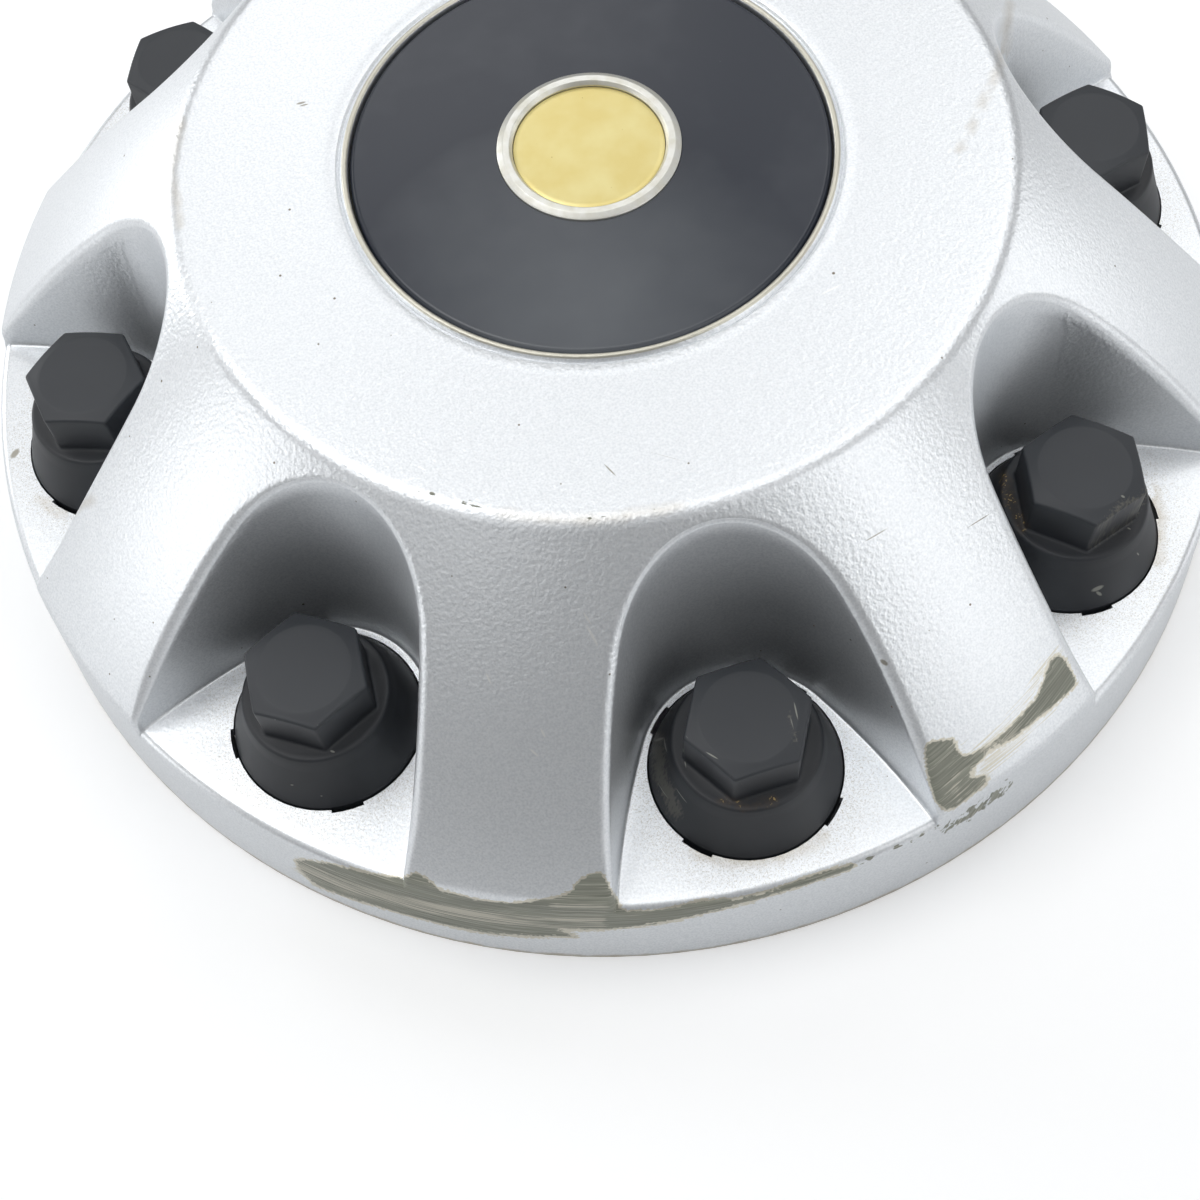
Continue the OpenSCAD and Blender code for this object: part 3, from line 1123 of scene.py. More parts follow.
def repeat_sectors(unit: Object, count: int) -> Mesh:
    """Mirrors a half sector and repeats it round the axle with a node tree.

    Args:
        unit: The half sector, which is used up.
        count: Number of sectors.

    Returns:
        The whole ring as a plain mesh.
    """
    tree = bpy.data.node_groups.new("sectors", "GeometryNodeTree")
    sockets = tree.interface
    sockets.new_socket("Half sector", in_out="INPUT", socket_type="NodeSocketGeometry")
    amount = sockets.new_socket("Sectors", in_out="INPUT", socket_type="NodeSocketInt")
    step = sockets.new_socket("Step", in_out="INPUT", socket_type="NodeSocketFloat")
    finish = sockets.new_socket("Finish", in_out="INPUT", socket_type="NodeSocketMaterial")
    sockets.new_socket("Ring", in_out="OUTPUT", socket_type="NodeSocketGeometry")

    given = add_node(tree, "NodeGroupInput")
    other = add_node(tree, "GeometryNodeTransform", {"Geometry": given.outputs[0], "Scale": (1, -1, 1)})
    flipped = add_node(tree, "GeometryNodeFlipFaces", {"Mesh": other.outputs[0]})
    both = add_node(tree, "GeometryNodeJoinGeometry")
    tree.links.new(given.outputs[0], both.inputs[0])
    tree.links.new(flipped.outputs[0], both.inputs[0])
    points = add_node(tree, "GeometryNodePoints", {"Count": given.outputs[1]})
    index = add_node(tree, "GeometryNodeInputIndex")
    turn = add_node(
        tree, "ShaderNodeMath", {0: index.outputs[0], 1: given.outputs[2]}, operation="MULTIPLY"
    )
    about = add_node(tree, "ShaderNodeCombineXYZ", {"Z": turn.outputs[0]})
    copies = add_node(
        tree, "GeometryNodeInstanceOnPoints",
        {"Points": points.outputs[0], "Instance": both.outputs[0], "Rotation": about.outputs[0]},
    )
    real = add_node(tree, "GeometryNodeRealizeInstances", {"Geometry": copies.outputs[0]})
    merged = add_node(
        tree, "GeometryNodeMergeByDistance", {"Geometry": real.outputs[0], "Distance": WELD}
    )
    dressed = add_node(
        tree, "GeometryNodeSetMaterial", {"Geometry": merged.outputs[0], "Material": given.outputs[3]}
    )
    add_node(tree, "NodeGroupOutput", {0: dressed.outputs[0]})

    modifier = unit.modifiers.new("sectors", "NODES")
    modifier.node_group = tree
    modifier[amount.identifier] = count
    modifier[step.identifier] = 2 * math.pi / count
    modifier[finish.identifier] = None
    mesh = plain_mesh(unit)
    bpy.data.objects.remove(unit)
    return mesh


def plain_mesh(piece: Object) -> Mesh:
    """The mesh that an object's modifiers make."""
    seen = bpy.context.evaluated_depsgraph_get()
    return bpy.data.meshes.new_from_object(piece.evaluated_get(seen))


def rounded(corners: Sequence[Sequence[float]], steps: int = 4) -> np.ndarray:
    """A path in the r-z plane whose corners are rounded.

    Args:
        corners: For each corner its r, its z and the radius of its rounding.
        steps: Number of chords in each rounding.

    Returns:
        The path's points, r and z.
    """
    rows = [np.array(corners[0][:2], float)]
    for before, (r, z, radius), after in zip(corners[:-2], corners[1:-1], corners[2:]):
        here = np.array([r, z], float)
        back = np.array(before[:2]) - here
        on = np.array(after[:2]) - here
        back_length, on_length = np.linalg.norm(back), np.linalg.norm(on)
        back, on = back / back_length, on / on_length
        half = math.acos(np.clip(back @ on, -1, 1)) / 2
        if radius == 0 or half > math.radians(89.5):
            rows.append(here)
            continue
        reach = min(radius / math.tan(half), 0.48 * back_length, 0.48 * on_length)
        radius = reach * math.tan(half)
        centre = here + (back + on) / np.linalg.norm(back + on) * (radius / math.sin(half))
        a, b = here + back * reach - centre, here + on * reach - centre
        sweep = math.acos(np.clip(a @ b / radius**2, -1, 1))
        for t in np.linspace(0, 1, steps + 1):
            mix = (math.sin((1 - t) * sweep) * a + math.sin(t * sweep) * b) / math.sin(sweep)
            rows.append(centre + mix)
    rows.append(np.array(corners[-1][:2], float))
    return np.array(rows)


def dense(path: np.ndarray, longest: float) -> np.ndarray:
    """Divides the long stretches of a path.

    Args:
        path: The path's points.
        longest: The longest stretch that may stay.

    Returns:
        The path with more points.
    """
    rows = [path[:1]]
    for a, b in zip(path[:-1], path[1:]):
        parts = max(1, math.ceil(np.linalg.norm(b - a) / longest))
        rows.append(a + (b - a) * (np.arange(1, parts + 1) / parts)[:, None])
    return np.vstack(rows)


def turned_rows(path: np.ndarray, columns: int) -> np.ndarray:
    """The rings that a path sweeps about the axle, as a table of points."""
    turns = np.arange(columns) * 2 * math.pi / columns
    return polar(path[:, :1], turns[None, :], path[:, 1:])


class Badge:
    """The round black badge with its plain medallion: a silver border round a gold inlay."""

    columns = 240
    edge_r = 0.85
    dome_rise = 0.8
    border_h = 0.5
    border_w = 2.3

    def __init__(self) -> None:
        """Reads the places of the three pieces from the frame."""
        self.disc_r = node_box("badge_disc")[1][0]
        self.border_r = node_box("badge_border")[1][0]
        self.top = node_box("badge_disc")[1][2] - self.dome_rise
        self.bottom = Crown.recess_h
        self.seat = node_box("badge_border")[0][2]
        self.border_top = node_box("badge_border")[1][2]
        self.inlay_top = node_box("badge_inlay")[1][2]
        self.inlay_r = node_box("badge_inlay")[1][0]

    def dome(self, r: np.ndarray) -> np.ndarray:
        """Height of the domed face at a radius."""
        return self.top + self.dome_rise * (1 - (r / self.disc_r) ** 2)

    def disc(self) -> Object:
        """Makes the disc: a turned face on a merged copy of its CAD back.

        Returns:
            The disc.
        """
        under = CadCopy("badge_disc")
        corners, normals = under.corners(), under.normals()
        middle = corners.mean(1)
        r = from_axle(corners)
        seat_wall = (np.abs(r - self.border_r) < 0.02).all(1) & (middle[:, 2] > self.seat)
        side = (r > self.disc_r - 0.9).all(1) & (middle[:, 2] > self.bottom + 0.01)
        face = (middle[:, 2] > self.seat + 0.01) & (normals[:, 2] > 0.03)
        under.drop(under.settle(seat_wall | side | face, under.slivers()))

        flat = np.linspace(self.border_r + 0.1, self.disc_r - self.edge_r, 16)
        face_path = np.c_[flat, self.dome(flat)]
        edge = arc(
            (self.disc_r - self.edge_r, self.dome(flat[-1]) - self.edge_r), self.edge_r,
            math.radians(86), 0, 9,
        )[:, :2]
        path = np.vstack(
            [
                [self.border_r, self.seat + 0.2], [self.border_r, self.dome(self.border_r) - 0.1],
                face_path, edge, [self.disc_r, self.bottom + 0.3],
            ]
        )
        skin = Skin()
        rows = skin.add(turned_rows(path, self.columns))
        skin.grid(rows, closed=True)
        back = skin.add(under.points)
        skin.cover(back[under.faces])
        for loop in under.loops():
            if from_axle(under.points[loop]).min() > self.disc_r - 1:
                skin.zip_rings(back[loop], rows[-1])
            elif np.ptp(under.points[loop, 2]) < 0.01 and under.points[loop, 2].mean() > self.seat - 0.01:
                skin.zip_rings(back[loop], rows[0])
        mesh = skin.tidy().mesh("badge_disc")
        smooth(mesh, 40)
        return place("badge_face", mesh)

    def border(self) -> Object:
        """Makes the bevelled ring.

        Returns:
            The ring.
        """
        inner = self.border_r - self.border_w
        path = rounded(
            [
                (inner, self.seat, 0),
                (inner, self.seat + 1.1, 0.12),
                (inner + self.border_w * 0.2, self.border_top, 0.25),
                (self.border_r - self.border_w * 0.4, self.border_top, 0.35),
                (self.border_r, self.border_top - self.border_h, 0.12),
                (self.border_r, self.seat, 0),
                (inner, self.seat, 0),
            ]
        )
        return self.turned_piece("medallion_border", dense(path, 0.4)[:-1], closed=True)

    def inlay(self) -> Object:
        """Makes the gold disc inside the ring, a little crowned.

        Returns:
            The inlay.
        """
        r = np.linspace(0, self.inlay_r - 0.15, 14)
        top = np.c_[r, self.inlay_top - 0.1 * (r / self.inlay_r) ** 2]
        rest = [[self.inlay_r, top[-1, 1] - 0.12], [self.inlay_r, self.seat], [0, self.seat]]
        return self.turned_piece("medallion_inlay", np.vstack([top, rest]), closed=False)

    def turned_piece(self, name: str, path: np.ndarray, closed: bool) -> Object:
        """Makes a piece by turning a path about the axle.

        Args:
            name: The piece's name.
            path: The path's points, r and z.
            closed: Whether the path's last point meets its first; else it runs from axle to axle.

        Returns:
            The piece.
        """
        skin = Skin()
        rows = skin.add(turned_rows(path if closed else path[1:-1], self.columns))
        if closed:
            skin.grid(np.vstack([rows, rows[:1]]), closed=True)
        else:
            skin.grid(rows, closed=True)
            for ring, z in ((rows[0], path[0, 1]), (rows[-1], path[-1, 1])):
                skin.fan(ring, int(skin.add(np.array([[0, 0, z]]))[0]))
        mesh = skin.mesh(name)
        smooth(mesh, 40)
        return place(name, mesh)


@dataclass
class NutCap:
    """One black screw-on cap, with its hexagonal head, collar, skirt, flange and thread."""

    number: int
    corner_steps: int = 8
    side_steps: int = 16
    half_width: float = 8.25
    corner_r: float = 0.7
    top_edge_r: float = 0.45
    flat_r: float = 6.8
    chamfer: float = math.radians(16)
    head_h: float = 8.6
    roof_t: float = 1.6
    root_r: float = 0.45
    collar_r: float = 10.85
    collar_t: float = 2.2
    skirt_r: float = 14.3
    flange_r: float = 14.85
    flange_t: float = 1.8
    mouth_r: float = 12.8
    stud_bore_r: float = 7.1
    thread_r: float = 9.7
    thread_pitch: float = 1.5
    thread_depth: float = 0.7
    thread_lead: float = 2.0

    @property
    def node(self) -> str:
        """The CAD node, which is also the body, that this cap stands for."""
        return f"nut_cap_{self.number}"

    def plan(self, inset: float) -> np.ndarray:
        """Draws the head's rounded hexagon.

        Args:
            inset: How far it is set in from the flats.

        Returns:
            A point for each column.
        """
        sharp = (self.half_width - self.corner_r) / math.cos(math.pi / 6)
        radius = max(self.corner_r - inset, 0.05)
        shrink = (self.half_width - inset - radius) / (self.half_width - self.corner_r)
        rows = []
        for corner in range(6):
            middle = corner * math.pi / 3
            centre = sharp * shrink * np.array([math.cos(middle), math.sin(middle)])
            heading = middle + np.linspace(-1, 1, self.corner_steps + 1) * math.pi / 6
            rows.append(centre + radius * np.c_[np.cos(heading), np.sin(heading)])
        straight = np.linspace(0, 1, self.side_steps + 1)[1:-1, None]
        whole = []
        for here, after in zip(rows, rows[1:] + rows[:1]):
            whole += [here, here[-1] + (after[0] - here[-1]) * straight]
        return np.vstack(whole)

    def rows(self, top: float, floor: float, bottom: float) -> np.ndarray:
        """The rings of the whole cap about its own axis.

        Args:
            top: Height of the head's top.
            floor: Height of the pocket's floor.
            bottom: Height of the flange's underside.

        Returns:
            A table of points, from the middle of the top out, down and up inside to the roof.
        """
        outer = self.plan(0)
        turns = np.arctan2(outer[:, 1], outer[:, 0])

        def ring(r: float | np.ndarray, z: float) -> np.ndarray:
            """A round ring."""
            return polar(np.broadcast_to(r, turns.shape), turns, z)

        def on_cone(flat: np.ndarray) -> np.ndarray:
            """Lifts points onto the head's chamfered top.

            Args:
                flat: Points seen from above.

            Returns:
                The points on the top.
            """
            r = np.hypot(*flat.T)
            fall = np.clip(r - self.flat_r, 0, None) * math.tan(self.chamfer)
            return np.c_[flat, top - fall]

        collar_top = top - self.head_h
        table = [ring(r, top) for r in (0.6, 2.0, 4.0, 5.8, self.flat_r - 0.05)]
        flat_ring = ring(self.flat_r + 0.05, top - 0.012)
        table.append(flat_ring)
        inner = on_cone(self.plan(self.top_edge_r))
        for t in (0.3, 0.65, 1.0):
            flat = flat_ring[:, :2] * (1 - t) + inner[:, :2] * t
            table.append(on_cone(flat))
        for psi in np.linspace(0, math.pi / 2, 6)[1:]:
            flat = self.plan(self.top_edge_r * (1 - math.sin(psi)))
            drop = self.top_edge_r * (1 - math.cos(psi))
            table.append(np.c_[flat, inner[:, 2] - drop])
        low = collar_top + self.root_r
        for t in (0.12, 0.4, 0.7, 1.0):
            last = np.c_[outer, np.full(len(outer), low)]
            table.append(table[13] * (1 - t) + last * t)
        for psi in np.linspace(0, math.pi / 2, 4)[1:]:
            flat = self.plan(-self.root_r * (1 - math.cos(psi)))
            table.append(np.c_[flat, np.full(len(flat), low - self.root_r * math.sin(psi))])

        collar_low = collar_top - self.collar_t
        flange_top = bottom + self.flange_t
        outside = rounded(
            [
                (self.collar_r - 0.93, collar_top, 0),
                (self.collar_r, collar_top, 0.85),
                (self.collar_r + 0.75, collar_low - 0.4, 2.0),
                (self.skirt_r - 0.22, floor + 0.75, 0.5),
                (self.skirt_r, floor + 0.3, 0.5),
                (self.skirt_r, flange_top, 0.1),
                (self.flange_r, flange_top, 0.12),
                (self.flange_r, bottom, 0.12),
                (self.mouth_r, bottom, 0.2),
                (self.mouth_r, floor, 0.1),
                (self.thread_r, floor + self.thread_lead, 0),
            ]
        )
        table += [ring(r, z) for r, z in dense(outside, 1.2)]
        table += self.thread(turns, floor + self.thread_lead, collar_top - self.roof_t)
        inside = [
            (self.thread_r, collar_top - self.roof_t),
            (self.stud_bore_r, collar_top - self.roof_t),
            (self.stud_bore_r, top - self.roof_t),
        ]
        table += [ring(r, z) for r, z in dense(np.array(inside), 4.0)]
        table.append(ring(self.stud_bore_r * 0.5, top - self.roof_t))
        return np.array(table)

    def thread(self, turns: np.ndarray, low: float, high: float) -> list[np.ndarray]:
        """Rings whose crests wind up the bore as a screw thread.

        Args:
            turns: Each column's angle.
            low: Height where the thread begins.
            high: Height where it ends.

        Returns:
            The rings, from the lowest up.
        """
        per_turn = 8
        rows = []
        for z in np.arange(low, high, self.thread_pitch / per_turn)[1:]:
            phase = ((z - low) / self.thread_pitch - turns / (2 * math.pi)) % 1
            rise = 1 - np.abs(2 * phase - 1)
            fade = min(1, (z - low) / self.thread_pitch, (high - z) / self.thread_pitch)
            rows.append(polar(self.thread_r - self.thread_depth * fade * rise, turns, z))
        return rows

    def turn(self) -> float:
        """Measures how far the cap is turned, at its head's corners.

        Returns:
            The turn, radians.
        """
        points = positions(frame["nodes"][self.node].data)
        stud = STUDS[self.number - 1]
        flat = points[:, :2] - stud[:2]
        top = node_box(self.node)[1][2]
        head = (points[:, 2] > top - self.head_h + 1) & (np.hypot(*flat.T) > self.half_width * 1.1)
        corner = np.arctan2(flat[head, 1], flat[head, 0])
        sixth = math.pi / 3
        return float(np.angle(np.exp(6j * corner).mean()) / 6 % sixth)

    def build(self) -> Object:
        """Makes the cap in its place.

        Returns:
            The cap.
        """
        low, high = node_box(self.node)
        rows = self.rows(high[2], STUDS[0][2], low[2])
        skin = Skin()
        table = skin.add(turned(rows, self.turn()) + [*STUDS[self.number - 1][:2], 0])
        skin.grid(table, closed=True)
        for k in (0, -1):
            pole = np.array([[*STUDS[self.number - 1][:2], rows[k, 0, 2]]])
            skin.fan(table[k], int(skin.add(pole)[0]))
        mesh = skin.mesh(self.node)
        smooth(mesh, 44)
        return place(f"screw_cap_{self.number}", mesh)


@dataclass(frozen=True)
class View:
    """Where the photograph was taken from. Its pixels count from the top left corner."""

    pixels: int = 1200
    lens: float = 55.03
    sensor: float = 36.0
    at: tuple[float, float, float] = (-31.716, -173.071, 274.644)
    elevation: float = math.radians(64.0973)
    roll: float = math.radians(-6.9945)
    swing: float = math.radians(-8.28)

    @property
    def reach(self) -> float:
        """Distance at which a pixel is as wide as one millimetre, in millimetres."""
        return self.pixels * self.lens / self.sensor

    def axes(self) -> np.ndarray:
        """Finds how the camera is turned.

        Returns:
            The directions to its right, up and back from what it sees, one a row.
        """
        e, r = self.elevation, self.roll
        back = np.array([0, -math.cos(e), math.sin(e)])
        right = np.array([1.0, 0, 0])
        up = np.cross(back, right)
        level = math.cos(r) * right + math.sin(r) * up
        upright = math.cos(r) * up - math.sin(r) * right
        return turned(np.array([level, upright, back]), self.swing)

    def flat(self, points: np.ndarray) -> tuple[np.ndarray, np.ndarray]:
        """Projects points.

        Args:
            points: Places in millimetres.

        Returns:
            Their pixels, and how wide a pixel is there in millimetres.
        """
        x, y, z = self.axes() @ (points - self.at).T
        size = -z / self.reach
        return self.pixels / 2 + np.stack([x, -y], -1) / size[:, None], size

    def towards(self, pixel: Sequence[float]) -> np.ndarray:
        """The direction in which a pixel looks."""
        x, y = np.array(pixel) - self.pixels / 2
        return np.array([x, -y, -self.reach]) @ self.axes()


class Sight:
    """What the photograph's camera sees of the finished pieces."""

    def __init__(self, view: View, pieces: Sequence[Object]) -> None:
        """Gathers the pieces' faces.

        Args:
            view: The photograph's view.
            pieces: The pieces that can be seen or can hide one another.
        """
        points, faces = [], []
        for piece in pieces:
            count = sum(map(len, points))
            points.append(positions(piece.data))
            faces += [[count + i for i in face.vertices] for face in piece.data.polygons]
        self.view = view
        self.tree = BVHTree.FromPolygons(np.vstack(points).tolist(), faces)

    def at(self, pixel: Sequence[float]) -> Vector:
        """The place, in metres, of what a pixel shows."""
        found = self.tree.ray_cast(self.view.at, self.view.towards(pixel))[0]
        return found * MM

    def sees(self, points: np.ndarray, normals: np.ndarray) -> np.ndarray:
        """Tells which points of a surface are in view.

        Args:
            points: Places in millimetres.
            normals: The surface's direction at each.

        Returns:
            One truth value for each point.
        """
        clear = 0.05
        to_eye = np.array(self.view.at) - points
        open_side = (to_eye * normals).sum(1) > 0
        for k in np.flatnonzero(open_side):
            start = points[k] + clear * normals[k]
            open_side[k] = self.tree.ray_cast(start, to_eye[k])[0] is None
        return open_side


class Wear(Enum):
    """What has happened to the surface inside a mark. Each has its own field on the mesh."""

    BARE = "bare_depth"
    NICKED = "nicked_depth"
    TORN = "torn_depth"
    STAINED = "stained_depth"
    GRIMY = "grimy_depth"
    RUBBED = "rubbed_depth"


@dataclass(frozen=True)
class Mark:
    """A worn or dirty patch, drawn on the photograph in its pixels.

    It is the inside of a closed outline, or a line of some width, and its streaks run along the
    rim or at a slant to it, in degrees.
    """

    wear: Wear
    line: tuple[tuple[float, float], ...]
    width: float = 0.0
    slant: float = 0.0

    def depth(self, flat: np.ndarray) -> np.ndarray:
        """Measures how far inside the mark pixels lie.

        Args:
            flat: The pixels.

        Returns:
            The depths, below nought outside it.
        """
        line = np.array(self.line)
        ends = line if self.width else np.vstack([line, line[:1]])
        distance = np.full(len(flat), np.inf)
        for a, b in zip(ends[:-1], ends[1:]):
            t = np.clip((flat - a) @ (b - a) / ((b - a) @ (b - a)), 0, 1)
            distance = np.minimum(distance, np.hypot(*(flat - a - t[:, None] * (b - a)).T))
        if self.width:
            return self.width / 2 - distance
        return np.where(in_loops(flat, [line]), distance, -distance)


RIM_SCUFF = Mark(
    Wear.BARE,
    (
        (295, 859), (331, 864), (367, 873), (402, 879), (415, 873), (425, 877), (440, 890),
        (478, 900), (512, 903), (550, 899), (570, 893), (578, 882), (590, 875), (601, 872),
        (613, 894), (622, 911), (655, 911), (703, 901), (739, 899), (765, 893), (815, 874),
        (857, 863), (853, 868), (805, 885), (746, 903), (682, 919), (647, 925), (611, 929),
        (588, 930), (556, 929), (578, 937), (534, 936), (488, 933), (444, 925), (406, 915), (350, 898),
        (318, 886), (299, 870),
    ),
)
RIDGE_SCUFF = Mark(
    Wear.BARE,
    (
        (1057, 654), (1064, 658), (1070, 668), (1076, 682), (1073, 688), (1063, 697), (1054, 706),
        (1037, 719), (1023, 730), (1017, 736), (1005, 743), (993, 749), (984, 757), (978, 763),
        (975, 768), (969, 772), (968, 779), (977, 777), (988, 775), (989, 780), (985, 784),
        (978, 790), (969, 797), (960, 803), (955, 808), (946, 810), (938, 804), (934, 796),
        (931, 785), (928, 773), (926, 760), (925, 750), (928, 744), (935, 741), (946, 740),
        (953, 739), (956, 743), (954, 748), (959, 753), (965, 756), (976, 752), (987, 746),
        (999, 737), (1008, 729), (1017, 719), (1026, 710), (1035, 700), (1040, 690), (1044, 680),
        (1047, 669), (1051, 660),
    ),
    slant=18.0,
)
SHELL_MARKS = (
    RIM_SCUFF,
    RIDGE_SCUFF,
    Mark(
        Wear.TORN,
        ((968, 775), (976, 765), (992, 751), (1020, 735), (1034, 723), (1026, 742), (1012, 754),
         (998, 768), (988, 776)),
        slant=4.0,
    ),
    Mark(Wear.TORN, ((985, 757), (1020, 733), (1052, 710)), width=5.0, slant=4.0),
    Mark(Wear.TORN, ((300, 866), (350, 887), (430, 908), (510, 921), (600, 924)), width=10.0),
    Mark(Wear.TORN, ((555, 905), (605, 906)), width=6.0),
    Mark(
        Wear.TORN, ((956, 751), (984, 743), (1009, 722), (1030, 698), (1045, 664), (1057, 654)),
        width=7.0, slant=14.0,
    ),
    Mark(Wear.TORN, ((957, 779), (957, 798)), width=6.0, slant=80.0),
    Mark(Wear.TORN, ((949, 791), (966, 789)), width=5.0, slant=5.0),
    Mark(Wear.NICKED, ((943, 829), (966, 817), (985, 803), (1010, 785)), width=13.0, slant=75.0),
    Mark(Wear.NICKED, ((856, 864), (900, 846), (938, 826)), width=7.0),
    Mark(Wear.NICKED, ((410, 488), (455, 501), (520, 516), (568, 520), (610, 518), (655, 510)), width=5.0),
    Mark(Wear.STAINED, ((500, 514), (568, 521), (610, 519), (680, 506)), width=10.0),
    Mark(Wear.STAINED, ((1010, 5), (1004, 50), (990, 90), (960, 150)), width=10.0),
    Mark(Wear.STAINED, ((182, 120), (172, 170), (180, 225)), width=9.0),
    Mark(Wear.STAINED, ((1152, 492), (1160, 520), (1157, 560)), width=16.0),
    Mark(Wear.STAINED, ((690, 852), (730, 862), (780, 858), (822, 838)), width=14.0),
    Mark(Wear.STAINED, ((92, 500), (62, 516), (40, 500)), width=10.0),
)
CAP_MARKS = (
    Mark(Wear.GRIMY, ((722, 800), (750, 806), (776, 800)), width=11.0),
    Mark(Wear.GRIMY, ((1003, 476), (1010, 500), (1022, 526)), width=14.0),
    Mark(Wear.RUBBED, ((657, 738), (660, 775), (676, 812)), width=18.0),
    Mark(Wear.RUBBED, ((1090, 545), (1130, 520), (1148, 490)), width=9.0),
    Mark(Wear.RUBBED, ((1100, 530), (1120, 505), (1136, 500)), width=9.0),
    Mark(Wear.RUBBED, ((790, 716), (796, 744)), width=6.0),
)


@dataclass(frozen=True)
class Scratch:
    """A thin scratch, a chip or a fleck: its ends in the photograph's pixels, its width in mm."""

    start: tuple[float, float]
    end: tuple[float, float]
    width: float


PALE_SCRATCHES = (
    Scratch((587, 626), (598, 646), 0.5),
    Scratch((583, 612), (591, 624), 0.35),
    Scratch((541, 729), (545, 737), 0.4),
    Scratch((530, 749), (538, 756), 0.4),
    Scratch((486, 673), (491, 684), 0.35),
    Scratch((820, 295), (842, 284), 0.3),
    Scratch((205, 470), (226, 520), 0.3),
)
DARK_SCRATCHES = (
    Scratch((967, 528), (991, 513), 0.2),
    Scratch((864, 542), (888, 528), 0.2),
    Scratch((650, 452), (770, 486), 0.22),
    Scratch((742, 500), (880, 434), 0.22),
    Scratch((297, 104), (305, 102), 0.5),
    Scratch((300, 106), (308, 104), 0.35),
    Scratch((604, 464), (616, 476), 0.25),
    Scratch((882, 661), (886, 664), 0.8),
    Scratch((13, 456), (17, 451), 1.3),
)
CAP_FLECKS = (
    Scratch((331, 751), (334, 752), 0.35),
    Scratch((291, 785), (293, 785), 0.3),
    Scratch((321, 796), (322, 796), 0.25),
    Scratch((305, 730), (318, 725), 0.3),
    Scratch((730, 776), (742, 784), 0.3),
    Scratch((1094, 590), (1101, 587), 1.1),
    Scratch((1097, 592), (1101, 595), 0.6),
    Scratch((1122, 496), (1124, 497), 0.4),
    Scratch((1128, 528), (1130, 529), 0.3),
    Scratch((1137, 553), (1139, 555), 0.3),
    Scratch((654, 741), (664, 738), 0.5),
    Scratch((664, 738), (667, 752), 0.6),
    Scratch((658, 783), (668, 798), 0.3),
    Scratch((676, 788), (687, 803), 0.3),
    Scratch((683, 748), (686, 768), 0.25),
    Scratch((790, 716), (797, 742), 0.25),
    Scratch((794, 702), (798, 720), 0.25),
    Scratch((686, 736), (705, 758), 0.3),
    Scratch((801, 765), (801, 781), 0.3),
    Scratch((706, 752), (718, 759), 0.25),
)


def set_field(mesh: Mesh, name: str, values: np.ndarray) -> None:
    """Stores a number, or a vector, for each point.

    Args:
        mesh: The mesh.
        name: The field's name.
        values: One for each point.
    """
    flat = values.ndim == 1
    made = mesh.attributes.new(name, "FLOAT" if flat else "FLOAT_VECTOR", "POINT")
    made.data.foreach_set("value" if flat else "vector", np.ascontiguousarray(values, np.float32).ravel())


def wear_down(mesh: Mesh, marks: Sequence[Mark], sight: Sight) -> None:
    """Stores how deep each point lies in the marks of each kind, and which way it was rubbed.

    Args:
        mesh: The piece's mesh.
        marks: The marks on it.
        sight: The photograph's view of all the pieces.
    """
    limit, margin = 3.0, 30.0
    points = positions(mesh)
    normals = np.empty(len(points) * 3, np.float32)
    mesh.vertex_normals.foreach_get("vector", normals)
    flat, size = sight.view.flat(points)
    every = np.array([mark.depth(flat) for mark in marks])
    near = every.max(0) > -margin
    seen = np.zeros(len(points), bool)
    seen[near] = sight.sees(points[near], normals.reshape(-1, 3)[near])
    for wear in Wear:
        depths = [depth for mark, depth in zip(marks, every) if mark.wear is wear]
        deepest = np.max([*depths, np.full(len(points), -margin)], axis=0) * size
        set_field(mesh, wear.value, np.where(seen, np.clip(deepest, -limit, limit), -limit))
    slant = np.radians([mark.slant for mark in marks])[every.argmax(0)]
    r = from_axle(points)
    run = r * np.arctan2(points[:, 0], -points[:, 1])
    climb = points[:, 2] - r
    along = run * np.cos(slant) + climb * np.sin(slant)
    across = climb * np.cos(slant) - run * np.sin(slant)
    set_field(mesh, "rub", np.stack([along, across, np.zeros_like(r)], -1))


def linear(colour: str) -> tuple[float, float, float, float]:
    """Turns a hex colour into linear numbers.

    Args:
        colour: The colour in sRGB, as # and six hex digits.

    Returns:
        Red, green, blue and an alpha of 1.
    """
    parts = [int(colour[i : i + 2], 16) / 255 for i in (1, 3, 5)]
    made = [c / 12.92 if c <= 0.04045 else ((c + 0.055) / 1.055) ** 2.4 for c in parts]
    return (*made, 1.0)


def new_material(name: str) -> tuple[Material, NodeTree, Node]:
    """Starts a material.

    Args:
        name: The real finish that it stands for.

    Returns:
        The material, its tree and its shader.
    """
    made = bpy.data.materials.new(name)
    made.use_nodes = True
    return made, made.node_tree, made.node_tree.nodes["Principled BSDF"]


def patterns(
    tree: NodeTree, fields: Sequence[str] = (), **grains: tuple[float, float]
) -> dict[str, NodeSocket]:
    """Gathers what a finish is worked out from.

    Args:
        tree: The material's tree.
        fields: Names of the numbers stored on the mesh that the finish reads.
        grains: For each noise the size of its blotches in millimetres and its finer layers.

    Returns:
        Sockets by name: the object's coordinates as where, the height, the fields and the noises.
    """
    where = add_node(tree, "ShaderNodeTexCoord").outputs["Object"]
    height = add_node(tree, "ShaderNodeSeparateXYZ", {0: where}).outputs["Z"]
    found = {"where": where, "height": height}
    for name in fields:
        found[name] = add_node(tree, "ShaderNodeAttribute", attribute_name=name).outputs["Fac"]
    for name, (size, detail) in grains.items():
        feeds = {"Vector": where, "Scale": 1 / (size * MM), "Detail": detail}
        found[name] = add_node(tree, "ShaderNodeTexNoise", feeds).outputs[0]
    return found


